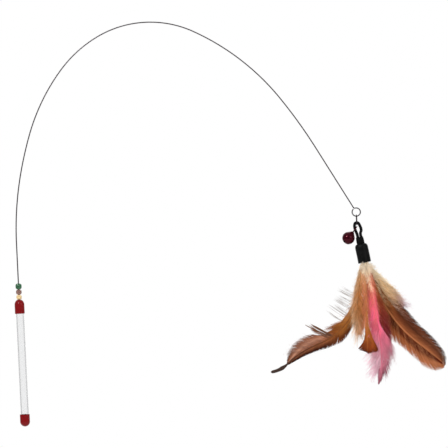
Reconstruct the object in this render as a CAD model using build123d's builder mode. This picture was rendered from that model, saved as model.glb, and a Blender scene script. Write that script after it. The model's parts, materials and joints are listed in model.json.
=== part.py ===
from build123d import *
import math
import os

# Cat teaser wand, held upright by its handle. The handle's axis is +Z and the wire arches
# towards +X in the XZ plane. The origin is on the handle's axis, halfway up the bottom cap's
# straight wall. All lengths are in millimetres and all angles in degrees.

# Fits and gaps
press_gap = 0.05  # between pieces that are pushed or glued together
turn_gap = 0.08  # between a bead and the wire that it turns on
stack_gap = 0.1  # between the beads along the wire
link_gap = 0.2  # between the links that the lure hangs on
cut_overrun = 1.0  # how far a cut runs past the face that it opens

# Handle
tube_outer_d = 8.0
tube_wall = 0.9
tube_length = 114.7
cap_wall = 0.85
bottom_cap_skirt = 7.3  # straight wall of the bottom cap
top_cap_overlap = 6.6  # how far the top cap reaches down the tube
top_cap_crown = 7.3  # how far the top cap stands above the tube
top_cap_dome = 5.0  # height of the top cap's rounded shoulder
top_cap_tip_d = 4.5  # flat tip that the beads rest on
plug_head = 1.4
plug_shank = 4.0
crimp_outer_d = 2.6
crimp_length = 2.2

# Beads, from the cap up
cream_bead_d = 5.5
cream_bead_height = 4.9
tan_bead_d = 5.7
tan_bead_height = 5.1
green_bead_d = 6.2
green_bead_height = 6.1
bead_round_share = 0.9  # rounding of a bead's ends, of the most that fits

# Spring wire: runs of one curve after another, from the top bead to the eye
wire_d = 1.2
wire_free_length = 614.0
wire_run_shares = (0.065, 0.115, 0.065, 0.115, 0.08, 0.165, 0.18, 0.10, 0.115)
wire_run_turns = (0.0, 12.5, 6.0, 20.0, 22.5, 56.0, 26.5, 7.0, 0.0)
eye_inner_d = 7.0
eye_neck_r = 1.5  # bend where the wire turns out into the eye
eye_end_gap = 0.25  # between the cut end of the eye and the wire

# Jump ring
ring_inner_d = 9.0
ring_wire_d = 1.0

# Lure: cord, binding and sleeve on one axis, which leans out from the plumb line
lure_lean = 9.0
cord_d = 3.0
loop_drop = 19.5  # from the ring's lowest wire to the sleeve's top
sleeve_outer_d = 13.0
sleeve_wall = 1.2
sleeve_length = 18.5
sleeve_dome = 4.0
sleeve_tip_d = 8.4
binding_height = 4.5
binding_wall = 0.85
strand_gap = 0.3  # between the two strands where they are bound
strand_fork = 9.8  # from the ring's lowest wire down to where the strands part
loop_route = ((-2.95, -3.9), (-1.95, 1.8), (1.5, 2.45), (3.1, -3.0), (3.2, -7.0))  # across and up from there
cord_arc_share = 0.45  # of each run of the loop that its bend takes up
cord_tail = 5.5  # how far the cord's ends reach below the sleeve's dome
mouth_recess = 2.0  # from the sleeve's mouth up to the glue

# Bell
bell_d = 12.6
bell_shell = 0.5
bell_seam = 0.35  # radius of the ridge round the bell's middle
bell_slot_width = 1.2
bell_slot_reach = 3.4  # half the length of each slot
bell_slot_hole_d = 2.0
bell_slot_turn = 22.5  # of the crossed slots, about the bell's axis
shank_inner_d = 6.0
shank_wire_d = 0.9
shank_stem_d = 1.4
shank_rivet_d = 2.6
shank_rivet_height = 0.5
collar_foot_d = 7.8
collar_tip_d = 1.6
collar_height = 1.6  # from the ball to the inside of the shank's ring
bell_droop = 42.0  # below square to the cord
bell_hang = 0.1  # from the cord's middle to the middle of the shank's ring
pellet_d = 3.8
pellet_gap = 0.15

# Feathers
quill_d = 1.4
quill_pitch = 1.0  # step between the quills in the sleeve
quill_root = 8.0  # how far a quill reaches up into the sleeve
shaft_tip_share = 0.35  # thickness of a shaft's tip, of the quill
shaft_flat_share = 0.45  # half thickness of a shaft, of the quill
cream_down_length = 30.0
cream_down_width = 18.0
short_brown_length = 91.0
short_brown_width = 17.0
pink_length = 124.0
pink_width = 28.0
golden_length = 72.0
golden_width = 20.0
maroon_length = 87.0
maroon_width = 16.0
left_brown_length = 156.0
left_brown_width = 17.0
right_lower_length = 132.0
right_lower_width = 22.0
right_upper_length = 138.0
right_upper_width = 24.0
tan_fluff_length = 66.0
tan_fluff_width = 16.0

# Each feather: column and layer are its quill's place in quill pitches, across and from
# front to back. lean tips it forward or back, headings turn it sideways from the lure's axis
# at even steps along it, and width_shares are its width at the places in station_shares.
# vane_side_share is how far the vane lies to one side of the shaft, of its width.
station_shares = (0.08, 0.2, 0.35, 0.5, 0.65, 0.78, 0.9, 1.0)
feathers = [
    dict(name="cream_down_feather", length=cream_down_length, width=cream_down_width,
         column=0.8, layer=-4.0, lean=-20.0,
         headings=(-6, -4, -2, -2, -4), vane_side_share=0.0,
         width_shares=(0.15, 0.6, 1.0, 1.0, 0.95, 0.8, 0.55, 0.15)),
    dict(name="short_brown_feather", length=short_brown_length, width=short_brown_width,
         column=-0.8, layer=-3.0, lean=-14.0,
         headings=(-10, -10, -10, -10, -10), vane_side_share=0.0,
         width_shares=(0.12, 0.15, 0.18, 0.22, 0.32, 0.55, 0.9, 1.0)),
    dict(name="pink_feather", length=pink_length, width=pink_width,
         column=1.2, layer=-2.0, lean=-9.0,
         headings=(4, -3, -3, -8, -21), vane_side_share=0.0,
         width_shares=(0.1, 0.32, 0.43, 0.65, 1.0, 0.95, 0.5, 0.05)),
    dict(name="golden_feather", length=golden_length, width=golden_width,
         column=-2.4, layer=-1.0, lean=-4.0,
         headings=(-20, -19, -16, -10, -6), vane_side_share=0.0,
         width_shares=(0.15, 0.7, 1.0, 1.0, 0.95, 0.85, 0.6, 0.15)),
    dict(name="maroon_feather", length=maroon_length, width=maroon_width,
         column=2.4, layer=0.0, lean=0.0,
         headings=(-4, 0, 7, 8, 4), vane_side_share=0.0,
         width_shares=(0.15, 0.5, 0.8, 1.0, 1.0, 0.85, 0.5, 0.08)),
    dict(name="left_brown_feather", length=left_brown_length, width=left_brown_width,
         column=-2.0, layer=1.0, lean=4.0,
         headings=(-13, -19, -27, -43, -61, -80, -71, -55, -86), vane_side_share=-0.2,
         width_shares=(0.15, 0.45, 0.5, 0.6, 0.95, 0.9, 0.1, 0.06)),
    dict(name="right_lower_feather", length=right_lower_length, width=right_lower_width,
         column=1.0, layer=2.0, lean=9.0,
         headings=(9, 13, 24, 36, 40), vane_side_share=-0.1,
         width_shares=(0.1, 0.4, 0.7, 0.95, 1.0, 0.9, 0.6, 0.06)),
    dict(name="right_upper_feather", length=right_upper_length, width=right_upper_width,
         column=2.6, layer=3.0, lean=14.0,
         headings=(12, 19, 26, 32, 37), vane_side_share=0.05,
         width_shares=(0.1, 0.5, 0.8, 1.0, 1.0, 0.9, 0.6, 0.05)),
    dict(name="tan_fluff_feather", length=tan_fluff_length, width=tan_fluff_width,
         column=0.6, layer=4.0, lean=22.0,
         headings=(14, 28, 36, 36, 26), vane_side_share=0.0,
         width_shares=(0.15, 0.8, 1.0, 1.0, 0.95, 0.8, 0.5, 0.1)),
]

os.makedirs("parts", exist_ok=True)

# Heights up the handle
tube_outer_r = tube_outer_d / 2
tube_inner_r = tube_outer_r - tube_wall
cap_bore_r = tube_outer_r + press_gap
cap_outer_r = cap_bore_r + cap_wall
wire_r = wire_d / 2
wire_hole_r = wire_r + press_gap
tube_bottom_z = -bottom_cap_skirt / 2
tube_top_z = tube_bottom_z + tube_length
plug_top_z = tube_top_z + plug_head
top_cap_rim_z = tube_top_z - top_cap_overlap
top_cap_tip_z = tube_top_z + top_cap_crown
plug_bottom_z = tube_top_z - plug_shank
wire_tail_z = plug_bottom_z - crimp_length

# Handle tube, open at both ends
with BuildPart() as handle_tube:
    with BuildSketch(Plane.XY.offset(tube_bottom_z)):
        Circle(tube_outer_r)
        Circle(tube_inner_r, mode=Mode.SUBTRACT)
    extrude(amount=tube_length)
handle_tube.part.label = "handle_tube"
export_step(handle_tube.part, "parts/handle_tube.step")

# Bottom cap: a skirt on the tube, a ledge for its end and a hollow round end
with BuildPart() as bottom_cap:
    with BuildSketch(Plane.XZ):
        with BuildLine():
            Polyline((cap_bore_r, tube_bottom_z), (cap_bore_r, -tube_bottom_z),
                     (cap_outer_r, -tube_bottom_z), (cap_outer_r, tube_bottom_z))
            CenterArc((0, tube_bottom_z), cap_outer_r, -90, 90)
            Line((0, tube_bottom_z - cap_outer_r), (0, tube_bottom_z - tube_inner_r))
            CenterArc((0, tube_bottom_z), tube_inner_r, -90, 90)
            Line((tube_inner_r, tube_bottom_z), (cap_bore_r, tube_bottom_z))
        make_face()
    revolve(axis=Axis.Z)
bottom_cap.part.label = "bottom_cap"
export_step(bottom_cap.part, "parts/bottom_cap.step")

# Top cap: a skirt on the tube, bullet shoulders and a flat tip with a hole for the wire
with BuildPart() as top_cap:
    with BuildSketch(Plane.XZ):
        with BuildLine():
            Polyline((wire_hole_r, top_cap_tip_z), (wire_hole_r, plug_top_z), (cap_bore_r, plug_top_z),
                     (cap_bore_r, top_cap_rim_z), (cap_outer_r, top_cap_rim_z),
                     (cap_outer_r, top_cap_tip_z - top_cap_dome))
            TangentArc((cap_outer_r, top_cap_tip_z - top_cap_dome), (top_cap_tip_d / 2, top_cap_tip_z),
                       tangent=(0, 1))
            Line((top_cap_tip_d / 2, top_cap_tip_z), (wire_hole_r, top_cap_tip_z))
        make_face()
    revolve(axis=Axis.Z)
top_cap.part.label = "top_cap"
export_step(top_cap.part, "parts/top_cap.step")

# Wire plug: a shank in the tube's bore and a head on its rim
with BuildPart() as wire_plug:
    with BuildSketch(Plane.XY.offset(plug_bottom_z)):
        Circle(tube_inner_r - press_gap)
    extrude(amount=plug_shank)
    with BuildSketch(Plane.XY.offset(tube_top_z)):
        Circle(tube_outer_r)
    extrude(amount=plug_head)
    with BuildSketch(Plane.XY.offset(plug_bottom_z)):
        Circle(wire_hole_r)
    extrude(amount=plug_shank + plug_head, mode=Mode.SUBTRACT)
wire_plug.part.label = "wire_plug"
export_step(wire_plug.part, "parts/wire_plug.step")

# Wire crimp: a ferrule under the plug, squeezed on the wire's tail
with BuildPart() as wire_crimp:
    with BuildSketch(Plane.XY.offset(wire_tail_z)):
        Circle(crimp_outer_d / 2)
        Circle(wire_hole_r, mode=Mode.SUBTRACT)
    extrude(amount=crimp_length)
wire_crimp.part.label = "wire_crimp"
export_step(wire_crimp.part, "parts/wire_crimp.step")

# Beads: round barrels with flat ends, stacked on the cap's tip
beads = [
    ("cream_bead", cream_bead_d, cream_bead_height),
    ("tan_bead", tan_bead_d, tan_bead_height),
    ("green_bead", green_bead_d, green_bead_height),
]
bead_hole_r = wire_r + turn_gap
bead_z = top_cap_tip_z
for bead_name, bead_d, bead_height in beads:
    bead_z += stack_gap
    with BuildPart() as bead:
        with BuildSketch(Plane.XY.offset(bead_z)):
            Circle(bead_d / 2)
        extrude(amount=bead_height)
        rim_edges = bead.edges().filter_by(GeomType.CIRCLE)
        fillet(rim_edges, radius=bead_round_share * min(bead_height / 2, bead_d / 2 - bead_hole_r))
        with BuildSketch(Plane.XY.offset(bead_z)):
            Circle(bead_hole_r)
        extrude(amount=bead_height, mode=Mode.SUBTRACT)
    bead.part.label = bead_name
    export_step(bead.part, f"parts/{bead_name}.step")
    bead_z += bead_height
wire_exit_z = bead_z

# Spring wire: a straight tail up through the handle and the beads, a chain of tangent runs,
# and an eye whose centre lies on the line of the last run
eye_r = eye_inner_d / 2 + wire_r
eye_reach = math.sqrt(eye_r**2 + 2 * eye_r * eye_neck_r)
neck_turn = math.degrees(math.acos(eye_neck_r / (eye_r + eye_neck_r)))
eye_end_turn = math.degrees(math.asin((wire_d + eye_end_gap) / eye_r))
eye_turn = 270 + neck_turn - eye_end_turn


def step_along(start, heading, length, turn):
    """End point and heading of a run whose heading turns steadily, clockwise from +Z."""
    chord = length
    if turn:
        half = math.radians(turn) / 2
        chord = length * math.sin(half) / half
    middle = math.radians(heading + turn / 2)
    end = (start[0] + chord * math.sin(middle), start[1] + chord * math.cos(middle))
    return end, heading + turn


with BuildPart() as spring_wire:
    with BuildLine(Plane.XZ) as wire_line:
        place = (0, wire_exit_z)
        heading = 0
        Line((0, wire_tail_z), place)
        for run_share, turn in zip(wire_run_shares, wire_run_turns):
            run_length = run_share * wire_free_length
            end, end_heading = step_along(place, heading, run_length, turn)
            if turn:
                way = (math.sin(math.radians(heading)), math.cos(math.radians(heading)))
                JernArc(place, way, run_length / math.radians(turn), -turn)
            else:
                Line(place, end)
            place, heading = end, end_heading
        way = (math.sin(math.radians(heading)), math.cos(math.radians(heading)))
        eye_centre = (place[0] + eye_reach * way[0], place[1] + eye_reach * way[1])
        JernArc(place, way, eye_neck_r, neck_turn)
        neck_length = eye_neck_r * math.radians(neck_turn)
        place, heading = step_along(place, heading, neck_length, -neck_turn)
        way = (math.sin(math.radians(heading)), math.cos(math.radians(heading)))
        JernArc(place, way, eye_r, -eye_turn)
    with BuildSketch(Plane.XY.offset(wire_tail_z)):
        Circle(wire_r)
    sweep(path=wire_line.wires()[0])
wire_line_length = wire_line.wires()[0].length
print("wire length", round(wire_line_length, 1), "section times length",
      round(math.pi * wire_r**2 * wire_line_length, 1), "volume", round(spring_wire.part.volume, 1))
spring_wire.part.label = "spring_wire"
export_step(spring_wire.part, "parts/spring_wire.step")

# Jump ring: hangs on the eye's lowest wire, square to the eye
eye_low_z = eye_centre[1] - eye_r
ring_r = (ring_inner_d + ring_wire_d) / 2
ring_top_z = eye_low_z + wire_r + link_gap + ring_wire_d / 2
ring_low_z = ring_top_z - 2 * ring_r
ring_centre = (eye_centre[0], 0, ring_top_z - ring_r)
with BuildPart() as jump_ring:
    with BuildSketch(Plane(origin=ring_centre, x_dir=(0, 1, 0), z_dir=(0, 0, 1))):
        with Locations((ring_r, 0)):
            Circle(ring_wire_d / 2)
    revolve(axis=Axis(ring_centre, (1, 0, 0)))
jump_ring.part.label = "jump_ring"
export_step(jump_ring.part, "parts/jump_ring.step")

# The lure's own frame starts at the ring's lowest wire, with its axis leaning by lure_lean
lean = math.radians(lure_lean)
lure_across = Vector(math.cos(lean), 0, math.sin(lean))
lure_up = Vector(-math.sin(lean), 0, math.cos(lean))
lure_pivot = Vector(eye_centre[0], 0, ring_low_z)
lure_base = Plane(origin=lure_pivot, x_dir=lure_across, z_dir=lure_up)
lure_face = Plane(origin=lure_pivot, x_dir=lure_across, z_dir=(0, -1, 0))
lure_axis = Axis(lure_pivot, lure_up)
sleeve_top = -loop_drop
sleeve_mouth = sleeve_top - sleeve_length
sleeve_shoulder = sleeve_top - sleeve_dome
sleeve_outer_r = sleeve_outer_d / 2
sleeve_inner_r = sleeve_outer_r - sleeve_wall
cord_r = cord_d / 2
strand_across = cord_r + strand_gap / 2
cord_end = sleeve_shoulder - cord_tail

# Cord loop: up one strand, over the ring's lowest wire and down the other
cord_route = [
    (-strand_across, cord_end),
    (-strand_across, -strand_fork),
    *loop_route,
    (strand_across, -strand_fork),
    (strand_across, cord_end),
]
cord_radii = []
for before, corner, after in zip(cord_route, cord_route[1:], cord_route[2:]):
    run_in = Vector(*corner) - Vector(*before)
    run_out = Vector(*after) - Vector(*corner)
    half_turn = math.radians(run_in.get_angle(run_out)) / 2
    cord_radii.append(cord_arc_share * min(run_in.length, run_out.length) / math.tan(half_turn))
print("cord radii", [round(radius, 1) for radius in cord_radii])
with BuildPart() as cord_loop:
    with BuildLine(lure_face) as cord_line:
        FilletPolyline(*cord_route, radius=cord_radii)
    with BuildSketch(lure_base.offset(cord_end)):
        with Locations((-strand_across, 0)):
            Circle(cord_r)
    sweep(path=cord_line.wires()[0])
cord_length = cord_line.wires()[0].length
print("cord length", round(cord_length, 1), "section times length",
      round(math.pi * cord_r**2 * cord_length, 1), "volume", round(cord_loop.part.volume, 1))
cord_loop.part.label = "cord_loop"
export_step(cord_loop.part, "parts/cord_loop.step")

# Loop binding: a wrap round both strands, standing on the sleeve
strand_hole_d = cord_d + 2 * press_gap
with BuildPart() as loop_binding:
    with BuildSketch(lure_base.offset(sleeve_top)):
        SlotCenterToCenter(2 * strand_across, strand_hole_d + 2 * binding_wall)
        SlotCenterToCenter(2 * strand_across, strand_hole_d, mode=Mode.SUBTRACT)
    extrude(amount=binding_height)
loop_binding.part.label = "loop_binding"
export_step(loop_binding.part, "parts/loop_binding.step")

# Lure sleeve: a domed boot, with a slot in its top for the two strands
with BuildPart() as lure_sleeve:
    with BuildSketch(lure_face):
        with BuildLine():
            Polyline((0, sleeve_top), (0, sleeve_shoulder), (sleeve_inner_r, sleeve_shoulder),
                     (sleeve_inner_r, sleeve_mouth), (sleeve_outer_r, sleeve_mouth),
                     (sleeve_outer_r, sleeve_shoulder))
            TangentArc((sleeve_outer_r, sleeve_shoulder), (sleeve_tip_d / 2, sleeve_top), tangent=(0, 1))
            Line((sleeve_tip_d / 2, sleeve_top), (0, sleeve_top))
        make_face()
    revolve(axis=lure_axis)
    with BuildSketch(lure_base.offset(sleeve_shoulder - cut_overrun)):
        SlotCenterToCenter(2 * strand_across, strand_hole_d)
    extrude(amount=sleeve_dome + 2 * cut_overrun, mode=Mode.SUBTRACT)
lure_sleeve.part.label = "lure_sleeve"
export_step(lure_sleeve.part, "parts/lure_sleeve.step")

# Glue plug: fills the sleeve round the cord's ends and the quills
quill_top = sleeve_mouth + quill_root
glue_length = sleeve_shoulder - sleeve_mouth - mouth_recess
with BuildPart() as glue_plug:
    with BuildSketch(lure_base.offset(sleeve_mouth + mouth_recess)):
        Circle(sleeve_inner_r - press_gap)
    extrude(amount=glue_length)
    with BuildSketch(lure_base.offset(cord_end)):
        with Locations((-strand_across, 0), (strand_across, 0)):
            Circle(cord_r + press_gap)
    extrude(amount=cord_tail + cut_overrun, mode=Mode.SUBTRACT)
    with BuildSketch(lure_base.offset(sleeve_mouth)):
        for feather in feathers:
            with Locations((feather["column"] * quill_pitch, feather["layer"] * quill_pitch)):
                Circle(quill_d / 2 + press_gap)
    extrude(amount=quill_root + press_gap, mode=Mode.SUBTRACT)
glue_plug.part.label = "glue_plug"
export_step(glue_plug.part, "parts/glue_plug.step")


def heading_at(headings, share):
    """Heading at a share of the length, between the even steps of the list."""
    step = min(int(share * (len(headings) - 1)), len(headings) - 2)
    part = share * (len(headings) - 1) - step
    return headings[step] * (1 - part) + headings[step + 1] * part


def feather_way(feather, share):
    """Directions along and across a feather at a share of its length."""
    turn = math.radians(heading_at(feather["headings"], share))
    tip = math.radians(feather["lean"])
    down = lure_across * math.sin(turn) - lure_up * math.cos(turn)
    along = down * math.cos(tip) + Vector(0, math.sin(tip), 0)
    return along, lure_across * math.cos(turn) + lure_up * math.sin(turn)


# Feathers: a quill in the glue, then a vane that thins from its shaft to its edges
spine_steps = 8
for feather in feathers:
    root = Vector(feather["column"] * quill_pitch, feather["layer"] * quill_pitch, quill_top)
    mouth = Vector(root.X, root.Y, sleeve_mouth)
    spot = lure_base.from_local_coords(mouth)
    stations = [(end, -lure_up, lure_across, -quill_d / 2, quill_d / 2, quill_d)
                for end in (lure_base.from_local_coords(root), spot)]
    reached = 0.0
    for station_share, width_share in zip(station_shares, feather["width_shares"]):
        step = (station_share - reached) / spine_steps
        for count in range(spine_steps):
            along, across = feather_way(feather, reached + (count + 0.5) * step)
            spot = spot + along * (step * feather["length"])
        reached = station_share
        along, across = feather_way(feather, station_share)
        thickness = quill_d * (1 - station_share * (1 - shaft_tip_share))
        width = max(width_share * feather["width"], thickness)
        aside = feather["vane_side_share"] * (width - thickness)
        stations.append((spot, along, across, aside - width / 2, aside + width / 2, thickness))
    with BuildPart() as plume:
        for spot, along, across, left, right, thickness in stations:
            flat = thickness / 4
            rise = shaft_flat_share * thickness
            with BuildSketch(Plane(origin=spot, x_dir=across, z_dir=along)):
                Polygon((left, 0), (-flat, -rise), (flat, -rise), (right, 0), (flat, rise), (-flat, rise),
                        align=None)
        loft(ruled=True)
    plume.part.label = feather["name"]
    export_step(plume.part, f"parts/{feather['name']}.step")

# The bell's own frame: its shank's ring goes round the left strand, where that is widest
bulge = cord_route[2]
bulge_in = cord_radii[1] * (1 / math.cos(math.radians(
    (Vector(*bulge) - Vector(*cord_route[1])).get_angle(Vector(*cord_route[3]) - Vector(*bulge)) / 2)) - 1)
bell_pivot = lure_base.from_local_coords(Vector(bulge[0] + bulge_in, 0, bulge[1]))
droop = math.radians(bell_droop)
bell_up = lure_across * math.cos(droop) + lure_up * math.sin(droop)
bell_across = lure_across * math.sin(droop) - lure_up * math.cos(droop)
bell_r = bell_d / 2
bell_inner_r = bell_r - bell_shell
shank_r = (shank_inner_d + shank_wire_d) / 2
shank_reach = shank_inner_d / 2 + collar_height
shank_centre = bell_pivot - bell_up * bell_hang
bell_centre = shank_centre - bell_up * (shank_reach + bell_r)
bell_face = Plane(origin=bell_centre, x_dir=bell_across, z_dir=(0, -1, 0))
bell_axis = Axis(bell_centre, bell_up)
stem_hole_r = shank_stem_d / 2 + press_gap

# Bell's top half, with a hole for the shank's stem
with BuildPart() as bell_top_shell:
    with BuildSketch(bell_face):
        with BuildLine():
            CenterArc((0, 0), bell_r, 0, 90)
            Line((0, bell_r), (0, bell_inner_r))
            CenterArc((0, 0), bell_inner_r, 0, 90)
            Line((bell_inner_r, 0), (bell_r, 0))
        make_face()
    revolve(axis=bell_axis)
    with BuildSketch(Plane(origin=bell_centre, x_dir=bell_across, z_dir=bell_up)):
        Circle(stem_hole_r)
    extrude(amount=bell_r + cut_overrun, mode=Mode.SUBTRACT)
bell_top_shell.part.label = "bell_top_shell"
export_step(bell_top_shell.part, "parts/bell_top_shell.step")

# Bell's bottom half, with the seam's ridge and crossed slots that end in round holes
bell_under = Plane(origin=bell_centre, x_dir=bell_across, z_dir=-bell_up)
with BuildPart() as bell_bottom_shell:
    with BuildSketch(bell_face):
        with BuildLine():
            Polyline((bell_inner_r, 0), (bell_r + bell_seam, 0), (bell_r + bell_seam, -bell_seam),
                     (math.sqrt(bell_r**2 - bell_seam**2), -bell_seam))
            CenterArc((0, 0), bell_r, -90, 90 - math.degrees(math.asin(bell_seam / bell_r)))
            Line((0, -bell_r), (0, -bell_inner_r))
            CenterArc((0, 0), bell_inner_r, -90, 90)
        make_face()
    revolve(axis=bell_axis)
    with BuildSketch(bell_under):
        for slot_angle in (bell_slot_turn, bell_slot_turn + 90):
            SlotCenterToCenter(2 * bell_slot_reach, bell_slot_width, rotation=slot_angle)
        with PolarLocations(bell_slot_reach, 4, start_angle=bell_slot_turn):
            Circle(bell_slot_hole_d / 2)
    extrude(amount=bell_r + cut_overrun, mode=Mode.SUBTRACT)
bell_bottom_shell.part.label = "bell_bottom_shell"
export_step(bell_bottom_shell.part, "parts/bell_bottom_shell.step")

# Bell shank: a ring round the cord, a tapered collar on the ball, a stem through the top half
# and a rivet head inside
collar_seat_r = bell_r + press_gap
collar_foot_turn = math.degrees(math.acos(collar_foot_d / 2 / collar_seat_r))
collar_foot = collar_seat_r * math.sin(math.radians(collar_foot_turn))
collar_tip = bell_r + collar_height
rivet_top = math.sqrt(bell_inner_r**2 - (shank_rivet_d / 2) ** 2) - press_gap
with BuildPart() as bell_shank:
    with BuildSketch(Plane(origin=shank_centre, x_dir=(0, 1, 0), z_dir=bell_up)):
        with Locations((shank_r, 0)):
            Circle(shank_wire_d / 2)
    revolve(axis=Axis(shank_centre, bell_across))
    with BuildSketch(Plane(origin=bell_centre, x_dir=bell_across, z_dir=bell_up).offset(rivet_top)):
        Circle(shank_stem_d / 2)
    extrude(amount=bell_r + collar_height - shank_wire_d / 2 - rivet_top)
    with BuildSketch(Plane(origin=bell_centre, x_dir=bell_across, z_dir=bell_up).offset(rivet_top)):
        Circle(shank_rivet_d / 2)
    extrude(amount=-shank_rivet_height)
    with BuildSketch(bell_face):
        with BuildLine():
            CenterArc((0, 0), collar_seat_r, collar_foot_turn, 90 - collar_foot_turn)
            Polyline((0, collar_seat_r), (0, collar_tip), (collar_tip_d / 2, collar_tip),
                     (collar_foot_d / 2, collar_foot))
        make_face()
    revolve(axis=bell_axis)
bell_shank.part.label = "bell_shank"
export_step(bell_shank.part, "parts/bell_shank.step")

# Bell pellet: a steel ball that rests at the lowest place inside the bell
pellet_drop = bell_inner_r - pellet_d / 2 - pellet_gap
with BuildPart() as bell_pellet:
    with Locations(bell_centre - Vector(0, 0, pellet_drop)):
        Sphere(pellet_d / 2)
bell_pellet.part.label = "bell_pellet"
export_step(bell_pellet.part, "parts/bell_pellet.step")

print("wire exit", round(wire_exit_z, 3), "eye low", round(eye_centre[0], 3), round(eye_low_z, 3))
print("ring low", round(ring_low_z, 3), "bell pivot", bell_pivot, "bell centre", bell_centre)
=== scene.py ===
import json
import math

import bpy
import numpy as np
from mathutils import Matrix, Vector


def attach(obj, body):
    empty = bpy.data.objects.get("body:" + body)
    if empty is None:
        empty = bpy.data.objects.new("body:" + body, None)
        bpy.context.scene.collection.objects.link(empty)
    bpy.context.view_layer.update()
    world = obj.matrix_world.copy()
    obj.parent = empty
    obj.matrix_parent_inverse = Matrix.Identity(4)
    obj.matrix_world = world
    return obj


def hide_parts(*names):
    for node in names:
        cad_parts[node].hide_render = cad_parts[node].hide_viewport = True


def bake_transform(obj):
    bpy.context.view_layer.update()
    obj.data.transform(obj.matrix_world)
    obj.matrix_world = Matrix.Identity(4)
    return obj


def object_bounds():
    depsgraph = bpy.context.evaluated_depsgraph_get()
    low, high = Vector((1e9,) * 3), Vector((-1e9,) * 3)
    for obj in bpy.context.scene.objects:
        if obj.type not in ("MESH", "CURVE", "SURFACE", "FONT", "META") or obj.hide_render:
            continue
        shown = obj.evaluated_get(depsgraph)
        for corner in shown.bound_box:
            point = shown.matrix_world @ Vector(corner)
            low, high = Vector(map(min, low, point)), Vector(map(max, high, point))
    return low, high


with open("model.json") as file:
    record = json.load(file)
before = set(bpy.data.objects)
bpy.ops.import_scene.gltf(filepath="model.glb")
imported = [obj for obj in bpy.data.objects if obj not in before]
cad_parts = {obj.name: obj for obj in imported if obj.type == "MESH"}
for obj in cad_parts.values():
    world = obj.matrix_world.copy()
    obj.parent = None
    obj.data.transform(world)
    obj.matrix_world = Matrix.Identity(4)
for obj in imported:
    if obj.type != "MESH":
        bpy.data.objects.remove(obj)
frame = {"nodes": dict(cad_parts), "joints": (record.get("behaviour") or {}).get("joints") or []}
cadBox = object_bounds()
scene = bpy.context.scene
mm = 0.001
print("frame loaded:", len(frame["nodes"]), "nodes")


def tint(red, green, blue):  # 0-255 screen colour to linear
    shares = [c / 255 for c in (red, green, blue)]
    return (*[c / 12.92 if c <= 0.04045 else ((c + 0.055) / 1.055) ** 2.4 for c in shares], 1.0)


def unit(v):
    return v / np.linalg.norm(v, axis=-1, keepdims=True)


# camera
camera = {
    "centre": (0.2082, 0.0, 0.18415),  # seen at the middle of the picture
    "away": 3.0,
    "seenWidth": 0.448,
    "roll": 2.76,  # degrees, the handle's top leans left
    "sensor": 36.0,
    "clipEnd": 20.0,
}
roll = math.radians(camera["roll"])
right = Vector((math.cos(roll), 0, -math.sin(roll)))
up = Vector((math.sin(roll), 0, math.cos(roll)))
back = Vector((0, -1, 0))
cameraData = bpy.data.cameras.new("viewCamera")
cameraData.sensor_width = camera["sensor"]
cameraData.lens = camera["sensor"] * camera["away"] / camera["seenWidth"]
cameraData.clip_end = camera["clipEnd"]
cameraObject = bpy.data.objects.new("viewCamera", cameraData)
turned = Matrix((right, up, back)).transposed().to_4x4()
turned.translation = Vector(camera["centre"]) + back * camera["away"]
cameraObject.matrix_world = turned
scene.collection.objects.link(cameraObject)
scene.camera = cameraObject
scene.view_settings.view_transform = "Standard"
print("camera set")

# lure's own frame, from the joint that it hangs on
lure = {
    "lean": 9.0,
    "sleeveMouth": -38.0,
    "quillPitch": 1.0,
    "quillRoot": 8.0,
}
lureJoint = next(j for j in frame["joints"] if j["name"] == "lure_swing")
lurePivot = np.array(lureJoint["pos_m"])
lean = math.radians(lure["lean"])
lureAcross = np.array((math.cos(lean), 0, math.sin(lean)))
lureUp = np.array((-math.sin(lean), 0, math.cos(lean)))
lureBack = np.array((0.0, 1.0, 0.0))


def lurePoint(across, upward, backward=0.0):
    return lurePivot + (lureAcross * across + lureUp * upward + lureBack * backward) * mm


# meshes
def tubeQuads(tubes, rings, sides):  # walls and end caps of equal tubes
    index = np.arange(tubes * rings * sides).reshape(tubes, rings, sides)
    low, high = index[:, :-1], index[:, 1:]
    walls = np.stack((low, np.roll(low, -1, 2), np.roll(high, -1, 2), high), -1).reshape(-1, 4)
    half = np.arange(sides // 2 - 1)
    strip = np.stack((half, half + 1, sides - 2 - half, sides - 1 - half), -1)
    starts = index[:, 0][:, strip[:, ::-1]].reshape(-1, 4)
    ends = index[:, -1][:, strip].reshape(-1, 4)
    return np.concatenate((walls, starts, ends))


def newPiece(name, verts, quads, material, **values):
    mesh = bpy.data.meshes.new(name)
    mesh.vertices.add(len(verts))
    mesh.vertices.foreach_set("co", np.ascontiguousarray(verts, np.float32).ravel())
    mesh.loops.add(quads.size)
    mesh.loops.foreach_set("vertex_index", np.ascontiguousarray(quads, np.int32).ravel())
    mesh.polygons.add(len(quads))
    mesh.polygons.foreach_set("loop_start", np.arange(0, quads.size, 4, dtype=np.int32))
    mesh.polygons.foreach_set("use_smooth", np.ones(len(quads), bool))
    for key, value in values.items():
        attribute = mesh.attributes.new(key, "FLOAT", "POINT")
        attribute.data.foreach_set("value", np.ascontiguousarray(value, np.float32))
    mesh.update(calc_edges=True)
    mesh.validate()
    mesh.materials.append(material)
    piece = bpy.data.objects.new(name, mesh)
    scene.collection.objects.link(piece)
    return piece


def lengthsAlong(points):
    return np.concatenate(((0.0,), np.cumsum(np.linalg.norm(np.diff(points, axis=0), axis=1))))


def framesAlong(points, firstSide):  # side and normal that turn as little as possible
    along = unit(np.gradient(points, axis=0))
    sides = []
    side = np.array(firstSide, float)
    for way in along:
        side = side - way * np.dot(side, way)
        side = side / np.linalg.norm(side)
        sides.append(side)
    sides = np.array(sides)
    return sides, np.cross(along, sides)


def turnsOf(sides):  # angle of each side round a tube
    return np.linspace(0, 2 * math.pi, sides, endpoint=False)


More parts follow.
